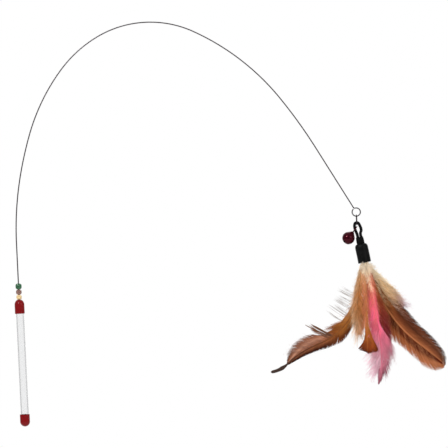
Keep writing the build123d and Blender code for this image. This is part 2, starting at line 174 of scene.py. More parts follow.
def ringsAround(points, firstSide, radii):  # radii: (rings, sides)
    side, normal = framesAlong(points, firstSide)
    turn = turnsOf(radii.shape[1])
    spokes = side[:, None] * np.cos(turn)[None, :, None] + normal[:, None] * np.sin(turn)[None, :, None]
    return points[:, None] + spokes * radii[..., None]


# shader groups
def shaderGroup(name, inputs, outputs):  # tuples are colours, and so is an output named Color
    group = bpy.data.node_groups.new(name, "ShaderNodeTree")
    for label, value in inputs.items():
        kind = "NodeSocketColor" if isinstance(value, tuple) else "NodeSocketFloat"
        socket = group.interface.new_socket(label, in_out="INPUT", socket_type=kind)
        socket.default_value = value
    for label in outputs:
        kind = "NodeSocketColor" if label == "Color" else "NodeSocketFloat"
        group.interface.new_socket(label, in_out="OUTPUT", socket_type=kind)
    entry = group.nodes.new("NodeGroupInput")
    leave = group.nodes.new("NodeGroupOutput")
    return group, entry, leave


def feed(tree, socket, value):  # links another socket to it, or sets a plain value
    if isinstance(value, bpy.types.NodeSocket):
        tree.links.new(value, socket)
    else:
        socket.default_value = value


def addNode(tree, kind, **inputs):
    node = tree.nodes.new("ShaderNode" + kind)
    for label, value in inputs.items():
        feed(tree, node.inputs[label.replace("_", " ")], value)
    return node


def mathNode(tree, operation, *values, clamp=False):
    node = addNode(tree, "Math")
    node.operation = operation
    node.use_clamp = clamp
    for socket, value in zip(node.inputs, values):
        feed(tree, socket, value)
    return node.outputs[0]


def colourMix(tree, factor, first, second):
    node = addNode(tree, "Mix")
    node.data_type = "RGBA"
    for place, value in ((0, factor), (6, first), (7, second)):  # places of the colour sockets
        feed(tree, node.inputs[place], value)
    return node.outputs[2]


def rangeNode(tree, value, limits):  # 0 to 1 between two limits
    return addNode(tree, "MapRange", Value=value, From_Min=limits[0], From_Max=limits[1])


# fine surface grain, in the piece's own metres
fineGrain, entry, leave = shaderGroup("fineGrain", {"Scale": 900.0, "Detail": 3.0}, ("Grain",))
place = addNode(fineGrain, "TexCoord")
noise = addNode(fineGrain, "TexNoise", Vector=place.outputs["Object"], Scale=entry.outputs["Scale"],
                Detail=entry.outputs["Detail"])
fineGrain.links.new(noise.outputs["Fac"], leave.inputs["Grain"])

# soft clouding of one colour by a second
mottleDetail = 4.0
softMottle, entry, leave = shaderGroup(
    "softMottle",
    {"Color": (0.5, 0.5, 0.5, 1), "Shade": (0.3, 0.3, 0.3, 1), "Scale": 120.0, "Amount": 0.5},
    ("Color",),
)
place = addNode(softMottle, "TexCoord")
noise = addNode(softMottle, "TexNoise", Vector=place.outputs["Object"], Scale=entry.outputs["Scale"],
                Detail=mottleDetail)
cloud = mathNode(softMottle, "MULTIPLY", noise.outputs["Fac"], entry.outputs["Amount"], clamp=True)
clouded = colourMix(softMottle, cloud, entry.outputs["Color"], entry.outputs["Shade"])
softMottle.links.new(clouded, leave.inputs["Color"])

# rubbed and handled patches: a mask for roughness
scuffPattern = {"detail": 6.0, "crispness": 0.65, "patches": (0.42, 0.68)}
handScuffs, entry, leave = shaderGroup(
    "handScuffs", {"Smooth": 0.1, "Rubbed": 0.4, "Scale": 300.0}, ("Roughness", "Mask"))
place = addNode(handScuffs, "TexCoord")
noise = addNode(handScuffs, "TexNoise", Vector=place.outputs["Object"], Scale=entry.outputs["Scale"],
                Detail=scuffPattern["detail"], Roughness=scuffPattern["crispness"])
spread = rangeNode(handScuffs, noise.outputs["Fac"], scuffPattern["patches"])
toRough = addNode(handScuffs, "MapRange", Value=spread.outputs["Result"], To_Min=entry.outputs["Smooth"],
                  To_Max=entry.outputs["Rubbed"])
handScuffs.links.new(toRough.outputs["Result"], leave.inputs["Roughness"])
handScuffs.links.new(spread.outputs["Result"], leave.inputs["Mask"])

# barb by barb change of tone, darker towards the roots and paler at loose tips
barbPattern = {
    "bandScale": 9.0, "bandDetail": 3.0, "bandSideways": 0.35, "bandAmount": 1.4,
    "rootEnd": 0.45,  # share of a barb at which its root's shade ends
    "smoothest": 0.42, "rougher": 0.2, "ridgeScale": 2600.0,
}
barbTone, entry, leave = shaderGroup(
    "barbTone",
    {"Color": (0.5, 0.3, 0.2, 1), "Strand": 0.5, "Side": 0.0, "Along": 0.0, "Amount": 0.35, "Root": 0.2},
    ("Color", "Roughness", "Height"),
)
sideways = mathNode(barbTone, "MULTIPLY", entry.outputs["Side"], barbPattern["bandSideways"])
where = addNode(barbTone, "CombineXYZ", X=entry.outputs["Along"], Y=sideways)
band = addNode(barbTone, "TexNoise", Vector=where.outputs["Vector"], Scale=barbPattern["bandScale"],
               Detail=barbPattern["bandDetail"])
band.noise_dimensions = "2D"
own = mathNode(barbTone, "SUBTRACT", entry.outputs["Strand"], 0.5)
drift = mathNode(barbTone, "SUBTRACT", band.outputs["Fac"], 0.5)
both = mathNode(barbTone, "ADD", own, mathNode(barbTone, "MULTIPLY", drift, barbPattern["bandAmount"]))
lift = mathNode(barbTone, "MULTIPLY", both, entry.outputs["Amount"])
outward = mathNode(barbTone, "ABSOLUTE", entry.outputs["Side"])
pastRoot = mathNode(barbTone, "SUBTRACT", outward, barbPattern["rootEnd"])
rootShade = mathNode(barbTone, "MULTIPLY", pastRoot, entry.outputs["Root"])
gain = mathNode(barbTone, "ADD", mathNode(barbTone, "ADD", lift, rootShade), 1.0)
toned = addNode(barbTone, "VectorMath")
toned.operation = "SCALE"
barbTone.links.new(entry.outputs["Color"], toned.inputs[0])
barbTone.links.new(gain, toned.inputs["Scale"])
barbTone.links.new(toned.outputs["Vector"], leave.inputs["Color"])
strandRough = mathNode(barbTone, "MULTIPLY", entry.outputs["Strand"], barbPattern["rougher"])
roughness = mathNode(barbTone, "ADD", strandRough, barbPattern["smoothest"])
barbTone.links.new(roughness, leave.inputs["Roughness"])
place = addNode(barbTone, "TexCoord")
ridges = addNode(barbTone, "TexNoise", Vector=place.outputs["Object"], Scale=barbPattern["ridgeScale"])
barbTone.links.new(ridges.outputs["Fac"], leave.inputs["Height"])
print("shader groups built")


# materials
grainHeight = 0.0002  # metres


def newMaterial(name, **sockets):
    material = bpy.data.materials.new(name)
    material.use_nodes = True
    shader = material.node_tree.nodes["Principled BSDF"]
    for label, value in sockets.items():
        shader.inputs[label.replace("_", " ")].default_value = value
    return material, material.node_tree, shader


def useGroup(tree, group, **values):
    node = addNode(tree, "Group")
    node.node_tree = group
    for label, value in values.items():
        feed(tree, node.inputs[label], value)
    return node


def bumpFrom(tree, shader, height, strength, distance):
    bump = addNode(tree, "Bump", Height=height, Strength=strength, Distance=distance)
    tree.links.new(bump.outputs["Normal"], shader.inputs["Normal"])


def attributeValue(tree, name):
    node = addNode(tree, "Attribute")
    node.attribute_name = name
    return node.outputs["Fac"]


def cloudedColour(tree, look):
    clouds = useGroup(tree, softMottle, Color=look["colour"], Shade=look["shade"],
                      Scale=look["cloudScale"], Amount=look["cloudAmount"])
    return clouds.outputs["Color"]


def addScuffs(tree, shader, look):
    scuffs = useGroup(tree, handScuffs, Smooth=look["smooth"], Rubbed=look["rubbed"],
                      Scale=look["scuffScale"])
    tree.links.new(scuffs.outputs["Roughness"], shader.inputs["Roughness"])
    return scuffs


def addGrain(tree, shader, look):
    grain = useGroup(tree, fineGrain, Scale=look["grainScale"], Detail=look.get("grainDetail", 2.0))
    bumpFrom(tree, shader, grain.outputs["Grain"], look["grainDepth"], grainHeight)


def finish(name, look):  # colour clouds, scuffs and grain on one plain finish
    material, tree, shader = newMaterial(name, **look["sockets"])
    tree.links.new(cloudedColour(tree, look), shader.inputs["Base Color"])
    addScuffs(tree, shader, look)
    addGrain(tree, shader, look)
    return material


def dress(node, material):
    mesh = frame["nodes"][node].data
    mesh.materials.clear()
    mesh.materials.append(material)


# handle
clearTube = {
    "sockets": {"Base_Color": (0.974, 0.976, 0.978, 1), "Transmission_Weight": 1.0, "Roughness": 0.0,
                "IOR": 1.47},
    "depthTint": (0.42, 0.43, 0.45, 1), "depthDensity": 20.0,
}
tubeMaterial, tree, shader = newMaterial("clearPlastic", **clearTube["sockets"])
absorb = addNode(tree, "VolumeAbsorption", Color=clearTube["depthTint"], Density=clearTube["depthDensity"])
tree.links.new(absorb.outputs["Volume"], tree.nodes["Material Output"].inputs["Volume"])
dress("handle_tube", tubeMaterial)

redCap = {
    "sockets": {"Coat_Weight": 0.12, "Coat_Roughness": 0.08, "Specular_IOR_Level": 0.12},
    "colour": tint(124, 9, 14), "shade": tint(94, 5, 9), "cloudScale": 160.0, "cloudAmount": 0.5,
    "smooth": 0.2, "rubbed": 0.34, "scuffScale": 300.0, "grainScale": 1400.0, "grainDepth": 0.05,
}
capMaterial = finish("redPlastic", redCap)
dress("bottom_cap", capMaterial)
dress("top_cap", capMaterial)

innerPlug = {
    "sockets": {}, "colour": tint(226, 224, 216), "shade": tint(190, 186, 176), "cloudScale": 300.0,
    "cloudAmount": 0.5, "smooth": 0.4, "rubbed": 0.6, "scuffScale": 400.0, "grainScale": 1800.0,
    "grainDepth": 0.1,
}
dress("wire_plug", finish("plugPlastic", innerPlug))
crimp = {
    "sockets": {"Metallic": 1.0}, "colour": tint(206, 168, 96), "shade": tint(140, 104, 50),
    "cloudScale": 900.0, "cloudAmount": 0.6, "smooth": 0.25, "rubbed": 0.5, "scuffScale": 900.0,
    "grainScale": 3000.0, "grainDepth": 0.2,
}
dress("wire_crimp", finish("crimpBrass", crimp))
print("handle dressed")

# beads
beadLooks = {
    "cream_bead": {"colour": tint(246, 221, 168), "shade": tint(226, 186, 118), "through": 0.25},
    "tan_bead": {"colour": tint(176, 134, 122), "shade": tint(128, 88, 80), "through": 0.55},
    "green_bead": {"colour": tint(52, 118, 76), "shade": tint(16, 58, 36), "through": 0.35},
}
beadGlass = {
    "sockets": {"IOR": 1.5, "Coat_Weight": 0.5, "Coat_Roughness": 0.04},
    "cloudScale": 420.0, "cloudAmount": 0.7, "smooth": 0.06, "rubbed": 0.26, "scuffScale": 500.0,
}
for node, look in beadLooks.items():
    glassName = node.replace("_b", "B") + "Glass"
    material, tree, shader = newMaterial(glassName, Transmission_Weight=look["through"],
                                         **beadGlass["sockets"])
    tree.links.new(cloudedColour(tree, {**beadGlass, **look}), shader.inputs["Base Color"])
    addScuffs(tree, shader, beadGlass)
    dress(node, material)
print("beads dressed")

# spring wire
springWire = {
    "radius": 0.6, "tail": 104.85, "exit": 134.75, "freeLength": 614.0,
    "runShares": (0.065, 0.115, 0.065, 0.115, 0.08, 0.165, 0.18, 0.10, 0.115),
    "runTurns": (0.0, 12.5, 6.0, 20.0, 22.5, 56.0, 26.5, 7.0, 0.0),  # degrees, clockwise
    "eyeInner": 7.0, "neckRadius": 1.5, "endGap": 0.12, "endRound": 0.85,
    "runStep": 1.6, "bendStep": 0.35, "sides": 14,
    "colour": tint(104, 99, 102), "shade": tint(64, 60, 63),
    "smooth": 0.36, "rubbed": 0.52, "scuffScale": 240.0,
    "streaks": (160.0, 9.0), "streakDetail": 4.0,  # streaks along each metre and round the wire
    "streakBump": (0.15, 0.0001),  # strength, and depth in metres
    "flexReach": (80.0, 80.0),  # mm across and up
}


def wireLine(w):
    eyeRadius = w["eyeInner"] / 2 + w["radius"]
    neckTurn = math.degrees(math.acos(w["neckRadius"] / (eyeRadius + w["neckRadius"])))
    endTurn = math.degrees(math.asin((w["radius"] + w["endGap"]) / eyeRadius))
    runs = [(share * w["freeLength"], turn, w["runStep"])
            for share, turn in zip(w["runShares"], w["runTurns"])]
    runs.append((w["neckRadius"] * math.radians(neckTurn), -neckTurn, w["bendStep"]))
    eyeTurn = 270 + neckTurn - endTurn
    runs.append((eyeRadius * math.radians(eyeTurn), eyeTurn, w["bendStep"]))
    x, z, heading = 0.0, w["exit"], 0.0
    tailCount = int((w["exit"] - w["tail"]) / w["runStep"])
    line = [(0.0, w["tail"] + (w["exit"] - w["tail"]) * i / tailCount) for i in range(tailCount + 1)]
    for length, turn, step in runs:
        count = max(2, math.ceil(length / step))
        for i in range(count):
            middle = math.radians(heading + turn * (i + 0.5) / count)
            x += math.sin(middle) * length / count
            z += math.cos(middle) * length / count
            line.append((x, z))
        heading += turn
    return np.array([(x, 0.0, z) for x, z in line]) * mm


steel, tree, shader = newMaterial("drawnSteel", Metallic=1.0)
lengthwise, roundwise = [mathNode(tree, "MULTIPLY", attributeValue(tree, name), share)
                         for name, share in zip(("run", "around"), springWire["streaks"])]
place = addNode(tree, "CombineXYZ", X=lengthwise, Y=roundwise)
drawn = addNode(tree, "TexNoise", Vector=place.outputs["Vector"], Scale=1.0,
                Detail=springWire["streakDetail"])
streaks = colourMix(tree, drawn.outputs["Fac"], springWire["shade"], springWire["colour"])
tree.links.new(streaks, shader.inputs["Base Color"])
addScuffs(tree, shader, springWire)
bumpFrom(tree, shader, drawn.outputs["Fac"], *springWire["streakBump"])

line = wireLine(springWire)
radii = np.full((len(line), springWire["sides"]), springWire["radius"] * mm)
radii[[0, -1]] *= springWire["endRound"]
rings = ringsAround(line, (0, 1, 0), radii)
runs = lengthsAlong(line)
roundShare = np.abs(np.linspace(-1, 1, springWire["sides"], endpoint=False))
wire = newPiece("springWire", rings.reshape(-1, 3), tubeQuads(1, *rings.shape[:2]), steel,
                run=np.repeat(runs, springWire["sides"]), around=np.tile(roundShare, len(line)))
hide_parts("spring_wire")
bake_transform(wire)
print("wire made:", round(runs[-1] / mm, 1), "mm")

# jump ring
gunmetal = {
    "sockets": {"Metallic": 1.0}, "colour": tint(62, 56, 62), "shade": tint(26, 22, 26),
    "cloudScale": 700.0, "cloudAmount": 0.7, "smooth": 0.22, "rubbed": 0.45, "scuffScale": 800.0,
    "grainScale": 2600.0, "grainDepth": 0.1,
}
dress("jump_ring", finish("gunmetal", gunmetal))

# cord loop
cordLoop = {
    "diameter": 3.0, "length": 65.0,
    "route": [(-1.65, -29.0), (-1.65, -13.5), (-1.62, -9.0), (-2.95, -3.9), (-2.2, 2.0), (1.6, 2.5),
              (3.25, -3.0), (3.3, -6.4), (1.62, -8.8), (1.64, -11.5),
              (1.65, -29.0)],  # across and up from the ring's lowest wire
    "curveOrder": 3, "curveSteps": 40,
    "leaves": (-1.65, -15.0), "step": 0.22, "sides": 28,
    "plaits": 5, "plaitLength": 2.6, "plaitDepth": 0.06,
    "sockets": {"Specular_IOR_Level": 0.06}, "colour": tint(14, 14, 15), "shade": tint(5, 5, 6),
    "dustAndSheen": tint(26, 26, 28), "cloudScale": 500.0, "cloudAmount": 0.8,
    "smooth": 0.38, "rubbed": 0.62, "scuffScale": 900.0,
    "grainScale": 5200.0, "grainDetail": 3.0, "grainDepth": 0.4,
}
routeCurve = bpy.data.curves.new("cordRoute", "CURVE")
routeCurve.dimensions = "3D"
spline = routeCurve.splines.new("NURBS")
spline.points.add(len(cordLoop["route"]) - 1)
for point, (across, upward) in zip(spline.points, cordLoop["route"]):
    point.co = (*lurePoint(across, upward), 1.0)
spline.order_u = cordLoop["curveOrder"]
spline.use_endpoint_u = True
spline.resolution_u = cordLoop["curveSteps"]
routeObject = bpy.data.objects.new("cordRoute", routeCurve)
scene.collection.objects.link(routeObject)
bpy.context.view_layer.update()
routeMesh = bpy.data.meshes.new_from_object(routeObject)
routePoints = np.array([v.co for v in routeMesh.vertices])
bpy.data.objects.remove(routeObject)
bpy.data.meshes.remove(routeMesh)
reached = lengthsAlong(routePoints)
even = np.linspace(0, reached[-1], int(reached[-1] / (cordLoop["step"] * mm)))
cordPath = np.stack([np.interp(even, reached, routePoints[:, axis]) for axis in range(3)], 1)
around = np.cos(cordLoop["plaits"] * turnsOf(cordLoop["sides"]))
lengthways = np.cos(2 * math.pi * even / (cordLoop["plaitLength"] * mm))
wave = around[None] * lengthways[:, None]
radii = cordLoop["diameter"] / 2 * mm * (1 - cordLoop["plaitDepth"] / 2 + cordLoop["plaitDepth"] * wave)
rings = ringsAround(cordPath, (0, 1, 0), radii)
cordMaterial, tree, shader = newMaterial("waxedCord", **cordLoop["sockets"])
# painted sheen: the raised plaits of the cord are painted lighter
withDustAndSheen = colourMix(tree, attributeValue(tree, "plait"), cloudedColour(tree, cordLoop), cordLoop["dustAndSheen"])
tree.links.new(withDustAndSheen, shader.inputs["Base Color"])
addScuffs(tree, shader, cordLoop)
addGrain(tree, shader, cordLoop)
cord = newPiece("cordLoop", rings.reshape(-1, 3), tubeQuads(1, *rings.shape[:2]), cordMaterial,
                plait=np.clip(wave, 0, 1).ravel())
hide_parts("cord_loop")
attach(cord, "lure")
print("cord made:", round(reached[-1] / mm, 1), "mm")

# loop binding, turns of thread round both strands
binding = {
    "low": -19.6, "high": -12.4, "apart": 1.65, "radius": 2.12, "rings": 109, "sides": 48,
    "turns": 9, "threadRise": 0.28, "threadRound": 0.6,
    "slimFrom": -15.5, "slim": 0.82,  # height above which it narrows, and its width at the top
    "turnIn": 0.86, "flatness": 6.0,
    "sockets": {"Specular_IOR_Level": 0.06}, "colour": tint(9, 9, 10), "shade": tint(24, 23, 24),
    "hollow": tint(3, 3, 3), "cloudScale": 800.0, "cloudAmount": 0.6,
    "smooth": 0.4, "rubbed": 0.65, "scuffScale": 1000.0, "grainScale": 6000.0, "grainDepth": 0.35,
}
heights = np.linspace(binding["low"], binding["high"], binding["rings"])
turn = turnsOf(binding["sides"])
climb = (heights[:, None] - binding["low"]) / (binding["high"] - binding["low"])
phase = climb * binding["turns"] + turn[None] / (2 * math.pi)
thread = np.abs(np.sin(math.pi * phase)) ** binding["threadRound"]
out = binding["radius"] + binding["threadRise"] * thread
out *= np.interp(heights, (binding["slimFrom"], binding["high"]), (1, binding["slim"]))[:, None]
out[[0, -1]] *= binding["turnIn"]
strandSide = np.clip(np.cos(turn) * binding["flatness"], -1, 1)[None] * binding["apart"]
acrossOut = np.cos(turn)[None] * out + strandSide
backOut = np.sin(turn)[None] * out
verts = np.array([[lurePoint(across, height, back) for across, back in zip(acrossRow, backRow)]
                  for height, acrossRow, backRow in zip(heights, acrossOut, backOut)])
threadMaterial, tree, shader = newMaterial("blackThread", **binding["sockets"])
# painted shade: the grooves between the thread's turns are painted darker than the raised turns
raised = colourMix(tree, attributeValue(tree, "thread"), binding["hollow"], cloudedColour(tree, binding))
tree.links.new(raised, shader.inputs["Base Color"])
addScuffs(tree, shader, binding)
addGrain(tree, shader, binding)
wrap = newPiece("loopBinding", verts.reshape(-1, 3), tubeQuads(1, binding["rings"], binding["sides"]),
                threadMaterial, thread=thread.ravel())
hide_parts("loop_binding")
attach(wrap, "lure")

# lure sleeve, a shrunk rubber boot
sleeve = {
    "outer": 6.5, "wall": 1.2, "top": -19.5, "mouth": -38.5, "dome": 4.0, "tip": 4.2, "ceiling": -34.0,
    "lip": 0.5, "pole": 0.02, "crown": (0.12, 0.1),  # radius of the closed middle, and rise of the top
    "bendSteps": 12, "wallSteps": 16, "wallSpan": (0.06, 0.94), "lipSteps": 9, "innerSpan": (0.3, 0.6, 1.0),
    "pucker": 0.09, "puckers": 9, "puckerDrift": 0.7, "sag": 0.05, "sags": (3, 5), "sides": 96,
    "sockets": {"Specular_IOR_Level": 0.07}, "colour": tint(14, 15, 15), "shade": tint(5, 6, 6),
    "dustAndSheen": tint(26, 27, 28), "dustAmount": 0.35, "cloudScale": 180.0, "cloudAmount": 0.8,
    "smooth": 0.3, "rubbed": 0.52, "scuffScale": 260.0,
    "grainScale": 1500.0, "grainDetail": 3.0, "grainDepth": 0.25,
}


def sleeveProfile(s):
    bend = np.linspace(0, math.pi / 2, s["bendSteps"])
    shoulder = s["top"] - s["dome"]
    outline = [(s["pole"], s["top"] + s["crown"][0]), (s["tip"] / 2, s["top"] + s["crown"][1])]
    outline += [(s["tip"] + (s["outer"] - s["tip"]) * math.sin(a), shoulder + s["dome"] * math.cos(a))
                for a in bend]
    wallPlaces = np.linspace(*s["wallSpan"], s["wallSteps"])
    outline += [(s["outer"], shoulder + (s["mouth"] - shoulder) * k) for k in wallPlaces]
    middle = s["outer"] - s["wall"] / 2
    outline += [(middle + s["wall"] / 2 * math.cos(a), s["mouth"] + s["lip"] - s["lip"] * math.sin(a))
                for a in np.linspace(0, math.pi, s["lipSteps"])]
    inner = s["outer"] - s["wall"]
    outline += [(inner, s["mouth"] + (s["ceiling"] - s["mouth"]) * k) for k in s["innerSpan"]]
    outline += [(inner / 2, s["ceiling"]), (s["pole"], s["ceiling"])]
    return np.array(outline)


outline = sleeveProfile(sleeve)
turn = turnsOf(sleeve["sides"])
depth = (outline[:, 1] - sleeve["mouth"]) / (sleeve["top"] - sleeve["mouth"])
folds = np.cos(sleeve["puckers"] * turn + sleeve["puckerDrift"] * np.sin(2 * turn))
pucker = sleeve["pucker"] * np.clip(depth, 0, 1)[:, None] ** 2 * folds[None]
sag = sleeve["sag"] * np.sin(sleeve["sags"][0] * turn[None] + sleeve["sags"][1] * depth[:, None])
grown = outline[:, :1] * (1 + (pucker + sag) / sleeve["outer"])
acrossOut = lureAcross * (grown * np.cos(turn))[..., None]
backOut = lureBack * (grown * np.sin(turn))[..., None]
verts = lurePivot + (acrossOut + backOut + lureUp * outline[:, 1][:, None, None]) * mm
rubber, tree, shader = newMaterial("blackRubber", **sleeve["sockets"])
scuffs = addScuffs(tree, shader, sleeve)
dusty = mathNode(tree, "MULTIPLY", scuffs.outputs["Mask"], sleeve["dustAmount"])
withDustAndSheen = colourMix(tree, dusty, cloudedColour(tree, sleeve), sleeve["dustAndSheen"])
tree.links.new(withDustAndSheen, shader.inputs["Base Color"])
addGrain(tree, shader, sleeve)
walls = tubeQuads(1, len(outline), sleeve["sides"])[:, ::-1]  # the outline runs down, so faces are turned
boot = newPiece("lureSleeve", verts.reshape(-1, 3), walls, rubber)
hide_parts("lure_sleeve")
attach(boot, "lure")

glue = {
    "sockets": {"Subsurface_Weight": 0.2, "Subsurface_Scale": 0.001},
    "colour": tint(214, 186, 138), "shade": tint(160, 122, 76), "cloudScale": 420.0, "cloudAmount": 0.7,
    "smooth": 0.2, "rubbed": 0.4, "scuffScale": 500.0, "grainScale": 900.0, "grainDepth": 0.3,
}
dress("glue_plug", finish("driedGlue", glue))
print("sleeve made")

# bell
bellLacquer = {
    "sockets": {"Metallic": 0.5, "Coat_Weight": 0.16, "Coat_Roughness": 0.1, "Specular_IOR_Level": 0.03},
    "colour": tint(72, 2, 20), "shade": tint(36, 1, 10), "cloudScale": 90.0, "cloudAmount": 0.7,
    "smooth": 0.16, "rubbed": 0.26, "scuffScale": 260.0, "grainScale": 1500.0, "grainDepth": 0.02,
}
bellMaterial = finish("bellLacquer", bellLacquer)
for node in ("bell_top_shell", "bell_bottom_shell", "bell_shank"):
    dress(node, bellMaterial)
pelletSteel = {
    "sockets": {"Metallic": 1.0}, "colour": tint(180, 180, 182), "shade": tint(120, 118, 118),
    "cloudScale": 600.0, "cloudAmount": 0.5, "smooth": 0.18, "rubbed": 0.4, "scuffScale": 900.0,
    "grainScale": 3000.0, "grainDepth": 0.1,
}
dress("bell_pellet", finish("pelletSteel", pelletSteel))
print("bell dressed")


# feathers
anyPhase = (0, 6.3)  # of a ripple


def stopsAt(at, stops):  # value at a place, between (place, value) stops
    return np.interp(at, *zip(*stops))


def spineOf(f, count=200):
    middles = (np.arange(count) + 0.5) / count
    shares = np.linspace(0, 1, count + 1)
    places = np.linspace(0, 1, len(f["headings"]))
    tip = math.radians(f["lean"])

    def ways(at):
        turn = np.radians(np.interp(at, places, f["headings"]))[:, None]
        down = lureAcross * np.sin(turn) - lureUp * np.cos(turn)
        onward = down * math.cos(tip) + lureBack * math.sin(tip)
        return onward, lureAcross * np.cos(turn) + lureUp * np.sin(turn)

    start = lurePoint(f["column"] * lure["quillPitch"], lure["sleeveMouth"], f["layer"] * lure["quillPitch"])
    steps = np.cumsum(ways(middles)[0], axis=0) * f["length"] * mm / count
    along, across = ways(shares)
    return {"share": shares, "point": np.concatenate((start[None], start + steps)), "along": along,
            "across": across, "normal": unit(np.cross(along, across))}


def spineAt(spine, at):
    return [np.stack([np.interp(at, spine["share"], spine[key][:, axis]) for axis in range(3)], -1)
            for key in ("point", "along", "across", "normal")]


def strandRings(points, normal, halfWidth, halfThick, tilt):  # flat tapered strands of four sides
    along = unit(np.gradient(points, axis=1))
    flat = unit(np.cross(np.broadcast_to(normal[:, None], points.shape), along))
    rise = np.cross(along, flat)
    turned = flat * np.cos(tilt)[:, None, None] + rise * np.sin(tilt)[:, None, None]
    raised = np.cross(along, turned)
    wide, thick = turned * halfWidth[..., None], raised * halfThick[..., None]
    return np.stack((points + wide, points + thick, points - wide, points - thick), 2)


def reachInside(f, outline, base, angle, count=150):  # where each barb meets the vane's outline
    steps = np.linspace(0, f["vane"]["longest"], count)
    ahead = base[:, None] + steps[None] * np.cos(angle)[:, None] / f["length"]
    limit = np.interp(ahead, *outline, right=0)
    crossed = steps[None] * np.sin(angle)[:, None] > limit
    crossed[:, -1] = True
    return steps[np.argmax(crossed, axis=1)]


def vaneBarbs(f, rng):
    vane = f["vane"]
    picked = []
    for name, side in (("left", -1.0), ("right", 1.0)):
        count = int((vane["to"] - vane["from"]) * f["length"] / vane["pitch"])
        base = np.linspace(vane["from"], vane["to"], count) + rng.normal(0, vane["rootStray"] / count, count)
        base = np.clip(base, 0, vane["lastRoot"])
        sizes = rng.integers(vane["group"][0], vane["group"][1] + 1, count)
        ends = np.cumsum(sizes)
        group = np.searchsorted(ends, np.arange(count), side="right")
        inGroup = (np.arange(count) - (ends[group] - sizes[group]) + 0.5) / sizes[group] * 2 - 1
        angle = stopsAt(base, vane["angles"]) + rng.normal(0, vane["stray"], count)
        angle += inGroup ** 3 * vane["split"] + rng.normal(0, vane["groupStray"], count)[group]
        angle = np.radians(np.clip(angle, *vane["angleLimits"]))
        reach = reachInside(f, tuple(zip(*vane[name])), base, angle)
        reach = reach * (1 + rng.normal(0, vane["ragged"], count)
                         + rng.normal(0, vane["ragged"], count)[group])
        keep = (reach > vane["shortest"]) & (rng.random(count) > vane["missing"])
        picked.append((base[keep], np.full(keep.sum(), side), angle[keep], reach[keep],
                       rng.normal(0, vane["lift"], count)[group][keep]))
    return [np.concatenate(part) for part in zip(*picked)]


def onwardPoints(start, ways, reach):  # points at even steps along each strand
    steps = reach * mm / (ways.shape[1] - 1)
    return start[:, None] + (np.cumsum(ways, axis=1) - ways) * steps[:, None, None]


def vaneStrands(f, spine, rng):
    vane = f["vane"]
    base, side, angle, reach, lift = vaneBarbs(f, rng)
    count = len(base)
    q = np.linspace(0, 1, vane["rings"])
    way = angle[:, None] + math.radians(vane["sweep"]) * (0.5 - q[None])
    point, along, across, normal = spineAt(spine, base)
    sideways = side[:, None] * np.sin(way)
    ways = along[:, None] * np.cos(way)[..., None] + across[:, None] * sideways[..., None]
    points = onwardPoints(point, ways, reach)
    camber = vane["camber"] * reach / 10  # mm for each 10 mm of barb
    bow = (camber + lift + rng.normal(0, vane["flutter"], count))[:, None] * q[None] ** 2
    points = points + normal[:, None] * bow[..., None] * mm
    ripple = np.sin(q[None] * rng.uniform(*vane["ripples"], (count, 1)) + rng.uniform(*anyPhase, (count, 1)))
    points = points + along[:, None] * (ripple * q[None] * vane["ripple"])[..., None] * mm
    breadth = np.outer(rng.uniform(*vane["widths"], count), stopsAt(q, vane["taper"]))
    halfWidth = breadth * vane["width"] / 2 * mm
    halfThick = np.outer(np.ones(count), stopsAt(q, vane["thinning"])) * vane["thick"] / 2 * mm
    rings = strandRings(points, normal, halfWidth, halfThick, math.radians(vane["tilt"]) * side)
    ahead = base[:, None] + q[None] * (reach * np.cos(angle) / f["length"])[:, None]
    return rings, {"along": ahead, "side": side[:, None] * q[None],
                   "strand": rng.random(count)[:, None] + 0 * ahead, "down": 0 * ahead}


def fuzzHairs(down, points, normal, side, values, rng):  # short hairs along each strand
    count, rows = points.shape[:2]
    hairs = count * down["fuzz"]
    owner = np.repeat(np.arange(count), down["fuzz"])
    at = rng.uniform(*down["fuzzPlaces"], hairs) * (rows - 1)
    low = np.minimum(at.astype(int), rows - 2)
    root = points[owner, low] + (points[owner, low + 1] - points[owner, low]) * (at - low)[:, None]
    onward = unit(points[owner, low + 1] - points[owner, low])
    sideways = unit(np.cross(onward, normal[owner])) * rng.choice((-1.0, 1.0), hairs)[:, None]
    outward = unit(onward * rng.uniform(*down["fuzzForward"], (hairs, 1)) + sideways
                   + normal[owner] * rng.normal(0, down["fuzzRise"], (hairs, 1)))
    long = (rng.uniform(*down["fuzzLengths"], hairs) * down["fuzzLength"] * mm)[:, None, None]
    q = np.array((0, 1.0))[None, :, None]
    bent = onward[:, None] * long * down["fuzzBend"] * q ** 2
    hairPoints = root[:, None] + outward[:, None] * long * q + bent
    half = np.outer(np.ones(hairs), (1, down["fuzzTip"])) * down["fuzzWidth"] / 2 * mm
    rings = strandRings(hairPoints, normal[owner], half, half * down["flat"], np.zeros(hairs))
    blank = np.zeros((hairs, 2))
    return rings, {"along": values["along"][owner, low][:, None] + blank,
                   "side": (side[owner] * at / (rows - 1))[:, None] + blank,
                   "strand": values["strand"][owner, :1] + blank, "down": blank + down["paleness"]}


